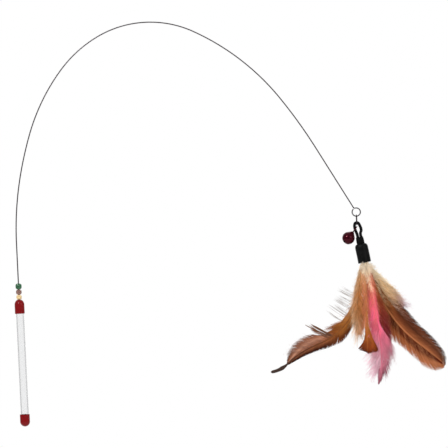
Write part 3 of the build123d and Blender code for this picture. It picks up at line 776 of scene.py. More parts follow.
def downStrands(f, spine, rng, down):
    count = down["count"]
    q = np.linspace(0, 1, down["rings"])
    base = rng.uniform(down["from"], down["to"], count)
    side = np.where(rng.random(count) < down["leftShare"], -1.0, 1.0)
    angle = np.radians(rng.uniform(*down["angles"], count))
    reach = stopsAt(base, down["reach"]) * rng.uniform(*down["lengths"], count)
    sweep = np.radians(rng.normal(down["sweep"], down["sweepStray"], count))
    wave = np.sin(q[None] * rng.uniform(*down["waves"], (count, 1)) + rng.uniform(*anyPhase, (count, 1)))
    way = angle[:, None] + sweep[:, None] * (0.5 - q[None]) + math.radians(down["curl"]) * wave
    point, along, across, normal = spineAt(spine, base)
    rise = np.radians(rng.normal(0, down["spread"], count))[:, None]
    ways = (along[:, None] * (np.cos(way) * np.cos(rise))[..., None]
            + across[:, None] * (side[:, None] * np.sin(way) * np.cos(rise))[..., None]
            + normal[:, None] * np.broadcast_to(np.sin(rise), way.shape)[..., None])
    points = onwardPoints(point, ways, reach)
    breadth = np.outer(rng.uniform(*down["widths"], count), stopsAt(q, down["taper"]))
    halfWidth = breadth * down["width"] / 2 * mm
    tilt = rng.uniform(*down["tilts"], count)
    rings = strandRings(points, normal, halfWidth, halfWidth * down["flat"], tilt)
    values = {"along": base[:, None] + q[None] * (reach * np.cos(angle) / f["length"])[:, None],
              "side": side[:, None] * q[None], "strand": rng.random(count)[:, None] + 0 * way,
              "down": 0 * way + down["paleness"]}
    return [(rings, values), fuzzHairs(down, points, normal, side, values, rng)]


def wispStrands(f, spine, rng, wisps):  # loose tufts of a few hairs each, at chosen places
    tufts = np.repeat(np.array(wisps["tufts"], float), wisps["hairs"], axis=0)
    share, reach, angle, width = tufts.T
    count, rows = len(tufts), wisps["rings"]
    q = np.linspace(0, 1, rows)
    share = np.clip(share + rng.normal(0, wisps["placeStray"], count), 0, 1)
    reach = reach * rng.uniform(*wisps["lengths"], count)
    way = np.radians(angle + rng.normal(0, wisps["angleStray"], count))[:, None]
    way = way + math.radians(wisps["sweep"]) * (0.5 - q[None])
    point, along, across, normal = spineAt(spine, share)
    ways = along[:, None] * np.cos(way)[..., None] - across[:, None] * np.sin(way)[..., None]
    points = onwardPoints(point, ways, reach)
    lift = rng.normal(0, wisps["lift"], (count, 1)) * q[None] ** 2
    points = points + normal[:, None] * lift[..., None] * mm
    half = np.outer(width * rng.uniform(*wisps["widths"], count), stopsAt(q, wisps["taper"])) / 2 * mm
    rings = strandRings(points, normal, half, half * wisps["flat"], np.zeros(count))
    blank = np.zeros((count, rows))
    return rings, {"along": share[:, None] + blank, "side": blank - q[None],
                   "strand": rng.random((count, 1)) + blank, "down": blank + 1}


quill = {"inSleeve": 0.6, "rootRings": 5, "every": 2, "sides": 8, "blunt": 0.5}


def shaftRings(f, spine):
    start = spine["point"][0]
    root = start + lureUp * lure["quillRoot"] * mm * quill["inSleeve"]
    points = np.concatenate((np.linspace(root, start, quill["rootRings"] + 1)[:-1],
                             spine["point"][::quill["every"]]))
    share = np.concatenate((np.zeros(quill["rootRings"]), spine["share"][::quill["every"]]))
    radii = np.repeat(stopsAt(share, f["shaft"])[:, None], quill["sides"], 1) * mm
    radii[[0, -1]] *= quill["blunt"]
    return ringsAround(points, tuple(spine["across"][0]), radii), share


# what a feather's surface is like, apart from its own colours
barbSurface = {
    "sockets": {"Sheen_Weight": 0.02, "Sheen_Roughness": 0.45, "Specular_IOR_Level": 0.06},
    "ridges": (0.15, 0.0001),  # strength, and depth in metres
    "turn": (0.5, 0.75),  # share of the length over which across gives way to acrossTip
    "downMix": 0.9, "tone": 0.45, "root": 0.15,
}
featherValues = ("along", "side", "strand", "shaft", "down")


def featherMaterial(f):
    look = {**barbSurface, **f["look"]}
    material, tree, shader = newMaterial(f["name"] + "Barbs", **look["sockets"])
    read = {key: attributeValue(tree, key) for key in featherValues}

    def ramp(factor, stops):
        node = addNode(tree, "ValToRGB", Fac=factor)
        elements = node.color_ramp.elements
        while len(elements) < len(stops):
            elements.new(1.0)
        for element, (at, colour) in zip(elements, stops):
            element.position = at
            element.color = colour
        return node

    colour = ramp(read["along"], look["along"]).outputs["Color"]
    halfway = mathNode(tree, "ADD", mathNode(tree, "MULTIPLY", read["side"], 0.5), 0.5)
    tipward = rangeNode(tree, read["along"], look["turn"])
    tipward.interpolation_type = "SMOOTHSTEP"
    baseward = mathNode(tree, "SUBTRACT", 1.0, tipward.outputs["Result"])
    acrossTip = look.get("acrossTip", look["across"])
    for stops, share in ((look["across"], baseward), (acrossTip, tipward.outputs["Result"])):
        breadth = ramp(halfway, stops)
        cover = mathNode(tree, "MULTIPLY", breadth.outputs["Alpha"], share)
        colour = colourMix(tree, cover, colour, breadth.outputs["Color"])
    fluff = ramp(read["along"], look["down"]).outputs["Color"]
    downShare = mathNode(tree, "MULTIPLY", read["down"], look["downMix"])
    colour = colourMix(tree, downShare, colour, fluff)
    tone = useGroup(tree, barbTone, Color=colour, Strand=read["strand"], Side=read["side"],
                    Along=read["along"], Amount=look["tone"], Root=look["root"])
    shaftColour = ramp(read["along"], look["shaft"]).outputs["Color"]
    colour = colourMix(tree, read["shaft"], tone.outputs["Color"], shaftColour)
    tree.links.new(colour, shader.inputs["Base Color"])
    tree.links.new(tone.outputs["Roughness"], shader.inputs["Roughness"])
    bumpFrom(tree, shader, tone.outputs["Height"], *look["ridges"])
    return material


def makeFeather(f):
    rng = np.random.default_rng(f["seed"])
    spine = spineOf(f)
    parts = []
    if "vane" in f:
        parts.append(vaneStrands(f, spine, rng))
    for down in f["downs"]:
        parts += downStrands(f, spine, rng, down)
    if "wisps" in f:
        parts.append(wispStrands(f, spine, rng, f["wisps"]))
    rings, share = shaftRings(f, spine)
    shaftValues = {"along": share, "strand": 0 * share + 0.5, "shaft": 0 * share + 1}
    parts.append((rings[None], shaftValues))
    verts, quads, values = [], [], {key: [] for key in featherValues}
    total = 0
    for rings, value in parts:
        strands, rows, sides = rings.shape[:3]
        size = strands * rows * sides
        verts.append(rings.reshape(-1, 3))
        quads.append(tubeQuads(strands, rows, sides) + total)
        total += size
        for key in featherValues:
            values[key].append(np.repeat(value[key].ravel(), sides) if key in value else np.zeros(size))
    piece = newPiece(f["name"], np.concatenate(verts), np.concatenate(quads), featherMaterial(f),
                     **{key: np.concatenate(value) for key, value in values.items()})
    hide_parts(f["node"])
    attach(piece, "lure")
    print("feather made:", f["name"], len(piece.data.polygons), "faces")


# barbs of a closed vane, of a loose one, of down, of edges and of tufts, which each feather changes
# where it differs; lengths are in millimetres and angles in degrees
firmVane = {
    "pitch": 0.3, "rings": 7, "rootStray": 0.15, "lastRoot": 0.999, "shortest": 0.5, "longest": 45.0,
    "width": 0.62, "widths": (0.8, 1.15), "taper": [(0, 0.7), (0.1, 1), (0.65, 0.8), (1, 0.12)],
    "thick": 0.1, "thinning": [(0, 1), (1, 0.5)], "tilt": 9,
    "angles": [(0, 44), (1, 22)], "angleLimits": (5, 110), "sweep": 14, "stray": 0.7,
    "group": (20, 90), "split": 0.7, "groupStray": 0.25, "ragged": 0.02, "missing": 0.0,
    "lift": 0.12, "flutter": 0.06, "camber": -0.5, "ripple": 0.08, "ripples": (3, 9),
}
looseVane = {
    **firmVane, "pitch": 0.2, "width": 0.34, "angles": [(0, 32), (1, 15)], "group": (4, 22), "split": 3.0,
    "stray": 3.5, "groupStray": 2.5, "ragged": 0.1, "missing": 0.02, "lift": 0.9, "flutter": 0.5,
    "ripple": 0.4, "sweep": 8, "rings": 6,
}
softDown = {
    "count": 420, "leftShare": 0.5, "rings": 6, "paleness": 1.0, "lengths": (0.5, 1.1),
    "angles": (30, 80), "sweep": 20, "sweepStray": 14, "curl": 14, "waves": (2, 7), "spread": 22,
    "width": 0.14, "widths": (0.7, 1.2), "taper": [(0, 1), (0.6, 0.75), (1, 0.2)], "flat": 0.6,
    "tilts": (-0.5, 0.5),  # radians
    "fuzz": 5, "fuzzLength": 1.5, "fuzzLengths": (0.5, 1.2), "fuzzWidth": 0.11, "fuzzTip": 0.4,
    "fuzzPlaces": (0.12, 0.98), "fuzzForward": (0.3, 1.0), "fuzzRise": 0.7, "fuzzBend": 0.35,
}
edgeHairs = {
    **softDown, "angles": (20, 40), "sweep": 6, "curl": 5, "spread": 8, "width": 0.12, "fuzz": 3,
    "lengths": (0.75, 1.0),
}
wispHairs = {  # a feather gives its tufts as share, reach, angle and width
    "hairs": 7, "rings": 9, "sweep": -10, "placeStray": 0.006, "angleStray": 2.5, "lengths": (0.72, 1.0),
    "lift": 1.2, "widths": (0.6, 1.1), "taper": [(0, 0.25), (0.35, 0.6), (0.75, 1), (1, 0.2)], "flat": 0.7,
}
clear = (0, 0, 0, 0)


def veil(colour, amount):  # a colour that covers part of what is under it
    return (*colour[:3], amount)


makeFeather({
    "name": "leftBrownFeather", "node": "left_brown_feather", "slot": "brown_feather", "seed": 11,
    "length": 156.0, "column": -2.0, "layer": 1.0, "lean": 4.0,
    "headings": (-13, -19, -27, -43, -61, -80, -71, -56, -94),
    "shaft": [
        (0, 0.65), (0.3, 0.55), (0.8, 0.45), (0.87, 0.6), (0.89, 1.2), (0.92, 2.1), (0.95, 1.75),
        (0.99, 1.55), (1, 1.0),
    ],
    "vane": {
        **firmVane, "from": 0.14, "to": 0.872, "pitch": 0.26,
        "angles": [(0, 40), (0.4, 34), (0.53, 40), (0.6, 50), (0.68, 38), (0.78, 25), (0.88, 14)],
        "left": [
            (0, 1), (0.2, 3), (0.35, 4.5), (0.45, 6), (0.5, 7), (0.54, 7), (0.57, 6), (0.6, 7.6),
            (0.636, 11.4), (0.68, 12.5), (0.739, 12.2), (0.79, 10.2), (0.842, 6.2), (0.87, 2), (0.885, 0),
        ],
        "right": [
            (0, 1), (0.2, 2.5), (0.3, 3.6), (0.4, 5.8), (0.47, 8), (0.52, 8.4), (0.6, 6.8), (0.7, 5.4),
            (0.8, 4), (0.87, 1.8), (0.885, 0),
        ],
    },
    "downs": [
        {
            **edgeHairs, "from": 0.56, "to": 0.78, "count": 110, "leftShare": 1.0, "angles": (30, 52),
            "reach": [(0.56, 15), (0.64, 20), (0.78, 17)],
        },
        {
            **edgeHairs, "from": 0.385, "to": 0.455, "count": 120, "leftShare": 1.0, "angles": (35, 46),
            "paleness": 0.0, "width": 0.22,
            "reach": [(0.38, 16), (0.455, 22)],
        },
        {
            **edgeHairs, "from": 0.24, "to": 0.5, "count": 80, "angles": (20, 46), "paleness": 0.4,
            "reach": [(0.24, 8), (0.5, 12)],
        },
        {
            **softDown, "from": 0.1, "to": 0.4, "count": 110, "leftShare": 1.0, "angles": (30, 66),
            "paleness": 0.2,
            "reach": [(0.1, 8), (0.3, 13), (0.4, 12)],
        },
    ],
    "wisps": {
        **wispHairs,
        "tufts": [
            (0.215, 21, 106, 0.26), (0.24, 23, 103, 0.3), (0.275, 21, 101, 0.26), (0.315, 26, 100, 0.34),
            (0.35, 22, 97, 0.24), (0.375, 27, 93, 0.3), (0.41, 25, 85, 0.26), (0.53, 29, 62, 0.85),
            (0.54, 30, 60, 1.0), (0.55, 23, 58, 0.8),
        ],
    },
    "look": {
        "along": [
            (0, tint(224, 182, 124)), (0.2, tint(210, 150, 84)), (0.4, tint(200, 128, 58)),
            (0.52, tint(150, 82, 36)), (0.7, tint(152, 92, 64)), (0.8, tint(116, 70, 48)),
            (0.88, tint(84, 48, 32)),
        ],
        "across": [
            (0, veil(tint(128, 74, 44), 0.4)), (0.3, clear), (0.6, clear), (0.8, veil(tint(84, 34, 8), 0.8)),
            (1, veil(tint(66, 24, 6), 0.95)),
        ],
        "acrossTip": [
            (0, veil(tint(96, 56, 40), 0.75)), (0.1, veil(tint(116, 70, 50), 0.7)),
            (0.2, veil(tint(150, 98, 74), 0.6)), (0.32, veil(tint(208, 152, 124), 0.7)),
            (0.46, veil(tint(158, 98, 70), 0.5)), (0.6, veil(tint(122, 70, 42), 0.7)),
            (0.78, veil(tint(64, 26, 10), 0.95)), (1, veil(tint(42, 16, 8), 1.0)),
        ],
        "down": [
            (0, tint(228, 206, 178)), (0.2, tint(166, 164, 162)), (0.43, tint(136, 130, 124)),
            (0.48, tint(70, 56, 46)), (0.58, tint(120, 80, 60)), (0.66, tint(170, 124, 104)),
        ],
        "shaft": [
            (0, tint(224, 190, 140)), (0.4, tint(150, 92, 44)), (0.7, tint(84, 46, 28)),
            (0.9, tint(60, 44, 38)),
        ],
        "turn": (0.5, 0.62),
    },
})
makeFeather({
    "name": "rightUpperFeather", "node": "right_upper_feather", "slot": "brown_feather", "seed": 23,
    "length": 138.0, "column": 2.6, "layer": 3.0, "lean": 14.0, "headings": (12, 19, 26, 32, 37),
    "shaft": [(0, 0.65), (0.5, 0.5), (1, 0.16)],
    "vane": {
        **firmVane, "from": 0.14, "to": 0.995,
        "left": [
            (0, 1), (0.2, 5), (0.35, 8.5), (0.5, 10.5), (0.65, 10.5), (0.78, 10), (0.9, 8), (0.97, 5), (1, 1),
        ],
        "right": [
            (0, 1), (0.2, 6), (0.3, 6.6), (0.4, 8.4), (0.5, 10.9), (0.583, 11), (0.65, 11.6), (0.71, 12.8),
            (0.77, 13.3), (0.84, 12.6), (0.92, 10.6), (0.97, 7), (1, 1),
        ],
    },
    "downs": [
        {**softDown, "from": 0.02, "to": 0.34, "count": 320, "leftShare": 0.4, "reach": [(0, 7), (0.3, 13)]},
        {
            **edgeHairs, "from": 0.3, "to": 0.9, "count": 150, "leftShare": 0.05, "angles": (22, 40),
            "reach": [(0.3, 20), (0.6, 24), (0.9, 15)],
        },
        {
            **softDown, "from": 0.2, "to": 0.4, "count": 120, "leftShare": 0.0, "angles": (26, 50),
            "sweep": 12,
            "reach": [(0.2, 17), (0.3, 19), (0.4, 15)],
        },
    ],
    "look": {
        "along": [
            (0, tint(244, 216, 170)), (0.22, tint(232, 190, 136)), (0.31, tint(180, 122, 72)),
            (0.4, tint(100, 46, 18)), (0.58, tint(80, 32, 10)), (0.68, tint(112, 58, 32)),
            (0.85, tint(140, 88, 62)), (1, tint(166, 128, 106)),
        ],
        "across": [
            (0, veil(tint(150, 88, 50), 0.5)), (0.42, veil(tint(160, 96, 54), 0.4)), (0.5, clear),
            (0.8, veil(tint(222, 176, 120), 0.35)), (1, veil(tint(232, 194, 142), 0.6)),
        ],
        "acrossTip": [
            (0, veil(tint(150, 88, 50), 0.5)), (0.5, clear), (0.6, veil(tint(124, 66, 40), 0.35)),
            (0.8, veil(tint(112, 58, 36), 0.35)), (0.9, veil(tint(72, 32, 18), 0.9)),
            (1, veil(tint(58, 26, 16), 0.92)),
        ],
        "down": [
            (0, tint(253, 240, 216)), (0.27, tint(246, 216, 170)), (0.4, tint(216, 178, 154)),
            (0.52, tint(176, 138, 124)), (0.66, tint(96, 56, 42)), (1, tint(156, 130, 118)),
        ],
        "shaft": [(0, tint(226, 190, 140)), (0.5, tint(150, 90, 54)), (1, tint(150, 96, 64))],
        "turn": (0.32, 0.46),
    },
})
makeFeather({
    "name": "rightLowerFeather", "node": "right_lower_feather", "slot": "brown_feather", "seed": 37,
    "length": 132.0, "column": 1.0, "layer": 2.0, "lean": 9.0, "headings": (9, 13, 26, 41, 38),
    "shaft": [(0, 0.7), (0.35, 0.8), (0.7, 0.75), (1, 0.2)],
    "vane": {
        **firmVane, "from": 0.12, "to": 0.995, "split": 0.25, "groupStray": 0.1, "width": 0.78,
        "angles": [(0, 40), (1, 20)],
        "left": [
            (0, 1), (0.1, 2), (0.2, 4.5), (0.35, 9), (0.5, 13.6), (0.57, 15.2), (0.62, 14.2), (0.66, 12),
            (0.75, 11.6), (0.85, 12), (0.91, 13.4), (0.955, 13.4), (1, 11.4), (1.03, 7), (1.05, 0),
        ],
        "right": [
            (0, 1), (0.1, 1.5), (0.2, 3.5), (0.35, 6), (0.5, 8.5), (0.65, 9), (0.78, 8.5), (0.9, 7),
            (0.97, 4.5), (1, 1),
        ],
    },
    "downs": [
        {
            **softDown, "from": 0.02, "to": 0.36, "count": 340, "leftShare": 0.25, "angles": (12, 50),
            "reach": [(0, 7), (0.36, 11)],
        },
        {
            **edgeHairs, "from": 0.25, "to": 0.92, "count": 230, "leftShare": 0.95, "angles": (20, 38),
            "reach": [(0.25, 14), (0.6, 24), (0.9, 17)],
        },
    ],
    "look": {
        "along": [
            (0, tint(218, 172, 114)), (0.25, tint(182, 112, 56)), (0.5, tint(156, 88, 44)),
            (0.8, tint(184, 118, 76)), (1, tint(188, 124, 84)),
        ],
        "across": [
            (0, veil(tint(190, 118, 72), 0.6)), (0.3, veil(tint(158, 88, 46), 0.5)),
            (0.44, veil(tint(132, 66, 28), 0.6)), (0.5, clear), (0.54, veil(tint(82, 28, 2), 0.95)),
            (0.75, veil(tint(88, 34, 4), 0.92)), (1, veil(tint(116, 58, 22), 0.7)),
        ],
        "acrossTip": [
            (0, veil(tint(186, 114, 74), 0.7)), (0.24, veil(tint(170, 92, 52), 0.6)),
            (0.34, veil(tint(92, 24, 2), 0.95)), (0.47, veil(tint(84, 18, 0), 0.97)),
            (0.5, veil(tint(150, 80, 40), 0.6)), (0.55, veil(tint(140, 76, 44), 0.7)),
            (0.7, veil(tint(108, 50, 24), 0.85)), (0.85, veil(tint(72, 26, 8), 0.86)),
            (1, veil(tint(66, 26, 10), 0.84)),
        ],
        "down": [
            (0, tint(255, 244, 222)), (0.24, tint(252, 224, 182)), (0.36, tint(208, 146, 94)),
            (0.46, tint(176, 110, 66)), (1, tint(188, 126, 88)),
        ],
        "shaft": [
            (0, tint(222, 180, 130)), (0.3, tint(164, 96, 54)), (0.6, tint(176, 106, 66)),
            (1, tint(174, 104, 62)),
        ],
        "turn": (0.36, 0.5),
    },
})
makeFeather({
    "name": "maroonFeather", "node": "maroon_feather", "slot": "maroon_feather", "seed": 41, "length": 87.0,
    "column": 2.4, "layer": 0.0, "lean": 0.0, "headings": (-4, 0, 7, 8, 4),
    "shaft": [(0, 0.6), (0.5, 0.4), (1, 0.12)],
    "vane": {
        **looseVane, "from": 0.05, "to": 0.99,
        "angles": [(0, 30), (1, 13)],
        "left": [(0, 1), (0.2, 4), (0.35, 6), (0.65, 7), (0.8, 6), (0.92, 4), (1, 0.6)],
        "right": [(0, 1), (0.2, 4), (0.35, 6.4), (0.5, 7.5), (0.65, 7.5), (0.78, 6), (0.9, 4), (1, 0.6)],
    },
    "downs": [
        {
            **softDown, "from": 0.1, "to": 0.9, "count": 130, "angles": (14, 34), "sweep": 6, "curl": 6,
            "spread": 12, "fuzz": 4,
            "reach": [(0, 10), (0.5, 17), (1, 10)],
        },
    ],
    "look": {
        "along": [
            (0, tint(236, 186, 128)), (0.2, tint(212, 132, 76)), (0.42, tint(184, 90, 52)),
            (0.65, tint(152, 56, 46)), (0.85, tint(140, 44, 56)), (1, tint(160, 84, 96)),
        ],
        "across": [(0, clear), (0.5, clear), (1, veil(tint(128, 66, 34), 0.45))],
        "down": [
            (0, tint(240, 206, 160)), (0.4, tint(206, 120, 78)), (0.8, tint(160, 72, 76)),
            (1, tint(176, 110, 120)),
        ],
        "shaft": [(0, tint(220, 160, 110)), (0.5, tint(140, 64, 40))],
    },
})
makeFeather({
    "name": "goldenFeather", "node": "golden_feather", "slot": "golden_feather", "seed": 53, "length": 72.0,
    "column": -2.4, "layer": -1.0, "lean": -4.0, "headings": (-20, -19, -16, -10, -6),
    "shaft": [(0, 0.6), (0.5, 0.35), (1, 0.1)],
    "vane": {
        **looseVane, "from": 0.0, "to": 0.98, "pitch": 0.13,
        "angles": [(0, 34), (0.5, 22), (1, 10)],
        "left": [(0, 1.5), (0.2, 3.0), (0.35, 3.8), (0.5, 4.6), (0.65, 5), (0.8, 4.8), (0.92, 3.6), (1, 2)],
        "right": [
            (0, 2), (0.12, 6), (0.25, 10.5), (0.4, 13.5), (0.6, 13.5), (0.75, 11.5), (0.88, 7.5), (1, 2.5),
        ],
    },
    "downs": [
        {
            **softDown, "from": 0.04, "to": 0.9, "count": 330, "leftShare": 0.9, "angles": (12, 34),
            "sweep": 2, "curl": 7, "spread": 14, "paleness": 0.6,
            "reach": [(0, 9), (0.4, 15), (0.9, 16)],
        },
        {
            **softDown, "from": 0.62, "to": 0.98, "count": 170, "angles": (2, 30), "sweep": 2, "curl": 7,
            "spread": 16, "width": 0.2, "paleness": 0.6,
            "reach": [(0.6, 18), (1, 17)],
        },
        {
            **softDown, "from": 0.05, "to": 0.85, "count": 200, "leftShare": 0.1, "angles": (12, 42),
            "sweep": 4, "curl": 7, "spread": 12, "paleness": 0.3,
            "reach": [(0, 10), (0.4, 18), (0.9, 14)],
        },
    ],
    "look": {
        "along": [
            (0, tint(252, 230, 196)), (0.16, tint(236, 190, 138)), (0.28, tint(214, 146, 84)),
            (0.4, tint(206, 134, 70)), (0.75, tint(204, 132, 72)), (1, tint(228, 172, 122)),
        ],
        "across": [
            (0, veil(tint(240, 218, 188), 0.75)), (0.3, clear), (0.66, clear),
            (0.85, veil(tint(190, 104, 56), 0.5)), (1, veil(tint(206, 104, 76), 0.6)),
        ],
        "down": [
            (0, tint(250, 238, 220)), (0.3, tint(236, 204, 160)), (0.7, tint(226, 174, 118)),
            (1, tint(240, 206, 172)),
        ],
        "shaft": [(0, tint(222, 170, 110)), (0.5, tint(176, 112, 62))],
        "tone": 0.6, "downMix": 0.8,
    },
})
makeFeather({
    "name": "pinkFeather", "node": "pink_feather", "slot": "pink_feather", "seed": 67, "length": 124.0,
    "column": 1.2, "layer": -2.0, "lean": -9.0, "headings": (4, -3, -3, -9, -25),
    "shaft": [(0, 0.6), (0.5, 0.42), (1, 0.12)],
    "vane": {
        **looseVane, "from": 0.03, "to": 0.985, "pitch": 0.14, "width": 0.36, "groupStray": 1.2,
        "ragged": 0.06, "split": 1.6,
        "angles": [(0, 26), (0.6, 18), (1, 8)],
        "left": [
            (0, 1), (0.08, 2), (0.2, 4.4), (0.35, 8), (0.5, 8.6), (0.65, 7), (0.76, 6), (0.86, 4), (0.94, 2),
            (1, 0.3),
        ],
        "right": [
            (0, 1), (0.08, 2), (0.2, 3.4), (0.35, 2.6), (0.5, 1.8), (0.55, 2.8), (0.6, 7), (0.65, 12),
            (0.72, 13), (0.79, 11.5), (0.86, 7.5), (0.94, 3), (1, 0.3),
        ],
    },
    "downs": [
        {
            **softDown, "from": 0.45, "to": 0.86, "count": 440, "angles": (18, 50), "leftShare": 1.0,
            "sweep": 10, "curl": 6, "spread": 12, "fuzz": 6, "width": 0.3, "fuzzWidth": 0.18,
            "reach": [(0.4, 9), (0.6, 24), (0.86, 20)],
        },
        {
            **softDown, "from": 0.52, "to": 0.8, "count": 90, "angles": (14, 34), "leftShare": 0.0,
            "sweep": 6, "curl": 6, "spread": 12, "paleness": 0.4,
            "reach": [(0.52, 8), (0.62, 18), (0.8, 14)],
        },
        {
            **softDown, "from": 0.03, "to": 0.45, "count": 200, "angles": (8, 30), "sweep": 4, "curl": 6,
            "spread": 12,
            "reach": [(0, 8), (0.5, 12)],
        },
    ],
    "look": {
        "along": [
            (0, tint(244, 196, 152)), (0.1, tint(230, 148, 108)), (0.22, tint(226, 126, 98)),
            (0.34, tint(248, 112, 130)), (0.46, tint(255, 116, 150)), (0.62, tint(250, 122, 154)),
            (0.78, tint(230, 138, 160)), (0.92, tint(184, 114, 132)), (1, tint(140, 86, 98)),
        ],
        "across": [
            (0, veil(tint(214, 110, 90), 0.6)), (0.25, clear), (0.7, clear),
            (1, veil(tint(190, 82, 62), 0.6)),
        ],
        "acrossTip": [
            (0, veil(tint(246, 196, 208), 0.6)), (0.3, clear), (0.55, clear),
            (0.72, veil(tint(204, 112, 128), 0.6)), (0.9, veil(tint(170, 100, 116), 0.7)),
            (1, veil(tint(134, 80, 92), 0.75)),
        ],
        "down": [
            (0, tint(250, 214, 184)), (0.3, tint(240, 140, 120)), (0.55, tint(232, 112, 132)),
            (0.66, tint(244, 160, 180)), (0.8, tint(248, 206, 218)), (1, tint(226, 188, 202)),
        ],
        "shaft": [(0, tint(246, 190, 150)), (0.4, tint(240, 112, 130)), (1, tint(190, 110, 128))],
        "turn": (0.46, 0.62), "tone": 0.4,
    },
})
makeFeather({
    "name": "shortBrownFeather", "node": "short_brown_feather", "slot": "brown_feather", "seed": 71,
    "length": 91.0, "column": -0.8, "layer": -3.0, "lean": -14.0, "headings": (-10, -10, -10, -10, -10),
    "shaft": [(0, 0.5), (0.6, 0.4), (1, 0.25)],
    "vane": {
        **firmVane, "from": 0.34, "to": 0.995, "pitch": 0.14, "sweep": -16, "split": 0.8, "ragged": 0.015,
        "longest": 60.0,
        "angles": [(0.3, 13), (0.6, 16), (0.74, 26), (0.82, 38), (0.9, 40), (0.96, 24), (1, 4)],
        "left": [
            (0, 1), (0.34, 0.8), (0.6, 1.4), (0.8, 2), (0.86, 3), (0.91, 6), (0.94, 8.6), (0.96, 10),
            (0.975, 8.5), (1.0, 3), (1.012, 0),
        ],
        "right": [
            (0, 1), (0.34, 0.8), (0.6, 1.6), (0.68, 2.6), (0.74, 5.6), (0.8, 8.6), (0.86, 10.2), (0.92, 10.6),
            (0.985, 10.4), (1.005, 8), (1.022, 0),
        ],
    },
    "downs": [
        {
            **softDown, "from": 0.06, "to": 0.64, "count": 330, "leftShare": 0.6, "angles": (4, 26),
            "sweep": 2, "curl": 7, "spread": 14, "width": 0.2,
            "reach": [(0, 9), (0.3, 13), (0.64, 12)],
        },
    ],
    "look": {
        "along": [
            (0, tint(228, 176, 118)), (0.45, tint(214, 146, 84)), (0.68, tint(200, 124, 64)),
            (0.8, tint(172, 92, 40)), (0.94, tint(146, 66, 20)), (1, tint(112, 44, 12)),
        ],
        "across": [(0, clear), (1, clear)],
        "acrossTip": [
            (0, veil(tint(76, 28, 6), 0.95)), (0.22, veil(tint(98, 40, 12), 0.75)), (0.42, clear),
            (0.8, clear), (1, veil(tint(116, 50, 18), 0.6)),
        ],
        "down": [
            (0, tint(250, 224, 190)), (0.16, tint(234, 178, 134)), (0.26, tint(222, 146, 106)),
            (0.4, tint(212, 128, 92)), (0.6, tint(204, 122, 82)), (0.8, tint(212, 142, 108)),
        ],
        "shaft": [(0, tint(226, 176, 120)), (0.6, tint(186, 116, 60)), (1, tint(140, 74, 30))],
        "turn": (0.74, 0.9),
    },
})
makeFeather({
    "name": "tanFluffFeather", "node": "tan_fluff_feather", "slot": "cream_feather", "seed": 83,
    "length": 66.0, "column": 0.6, "layer": 4.0, "lean": 22.0, "headings": (14, 28, 36, 36, 26),
    "shaft": [(0, 0.55), (0.5, 0.35), (1, 0.1)],
    "vane": {
        **looseVane, "from": 0.04, "to": 0.98, "pitch": 0.16, "width": 0.3,
        "angles": [(0, 28), (1, 14)],
        "left": [(0, 1), (0.2, 5), (0.35, 6.6), (0.65, 6.6), (0.8, 5), (0.92, 3), (1, 0.8)],
        "right": [(0, 1), (0.2, 5), (0.35, 6), (0.5, 6), (0.65, 6), (0.8, 5), (0.92, 3), (1, 0.8)],
    },
    "downs": [
        {
            **softDown, "from": 0.0, "to": 1.0, "count": 520, "angles": (14, 52), "leftShare": 0.42,
            "fuzz": 6,
            "reach": [(0, 9), (0.4, 12), (1, 11)],
        },
    ],
    "look": {
        "along": [
            (0, tint(255, 244, 222)), (0.3, tint(255, 238, 206)), (0.5, tint(250, 218, 170)),
            (0.75, tint(230, 186, 134)), (0.9, tint(206, 168, 156)), (1, tint(208, 174, 180)),
        ],
        "across": [(0, veil(tint(226, 176, 120), 0.3)), (0.5, clear), (1, veil(tint(253, 240, 216), 0.4))],
        "down": [
            (0, tint(255, 246, 230)), (0.35, tint(255, 240, 212)), (0.6, tint(246, 216, 172)),
            (0.8, tint(226, 194, 184)), (1, tint(216, 188, 200)),
        ],
        "shaft": [(0, tint(244, 214, 164)), (0.6, tint(214, 166, 108))],
        "downMix": 0.8,
    },
})
makeFeather({
    "name": "creamDownFeather", "node": "cream_down_feather", "slot": "cream_feather", "seed": 97,
    "length": 30.0, "column": 0.8, "layer": -4.0, "lean": -20.0, "headings": (-6, -4, -2, -2, -4),
    "shaft": [(0, 0.5), (0.5, 0.25), (1, 0.08)],
    "downs": [
        {
            **softDown, "from": 0.0, "to": 0.3, "angles": (6, 60), "spread": 26, "leftShare": 0.58, "fuzz": 6,
            "reach": [(0, 10), (0.3, 7)],
        },
        {
            **softDown, "from": 0.3, "to": 0.95, "count": 60, "angles": (8, 40), "fuzz": 6,
            "reach": [(0.3, 7), (1, 5)],
        },
    ],
    "look": {
        "along": [(0, tint(250, 236, 212)), (0.5, tint(248, 218, 182)), (1, tint(242, 190, 150))],
        "across": [(0, clear), (1, clear)],
        "down": [(0, tint(253, 242, 224)), (0.5, tint(252, 230, 200)), (1, tint(248, 210, 176))],
        "shaft": [(0, tint(244, 220, 184)), (1, tint(236, 200, 160))],
    },
})

# floor, light and world; the wand is held in the air, and the feathers clear the floor with the
# wire bent down
studio = {
    "floorGap": 0.145, "floorSize": 2.4, "floorMiddle": 0.2,
    "floorColour": (0.8, 0.8, 0.8, 1), "floorRough": 0.9, "floorGlow": 0.6,
    "fade": (0.3, 1.1),  # metres from the middle over which the floor fades into the white room
    "ambient": 0.8,
    "sideShade": 0.3, "sides": (0.25, 0.95),  # in reflections the room is dimmer to both sides
    "frontShade": 0.3, "front": (0.2, -0.7),  # and towards the front, -Y
    "aim": (0.25, 0, 0.18),
    "lamps": {"keyLamp": {"place": (-0.5, -1.1, 1.1), "size": 0.4, "power": 12.0},
              "fillLamp": {"place": (1.1, -0.9, 0.5), "size": 0.8, "power": 3.5},
              "rimLamp": {"place": (0.5, 1.1, 0.9), "size": 0.6, "power": 3.0}},
}
white = (1, 1, 1, 1)
floorZ = cadBox[0][2] - studio["floorGap"]
half = studio["floorSize"] / 2
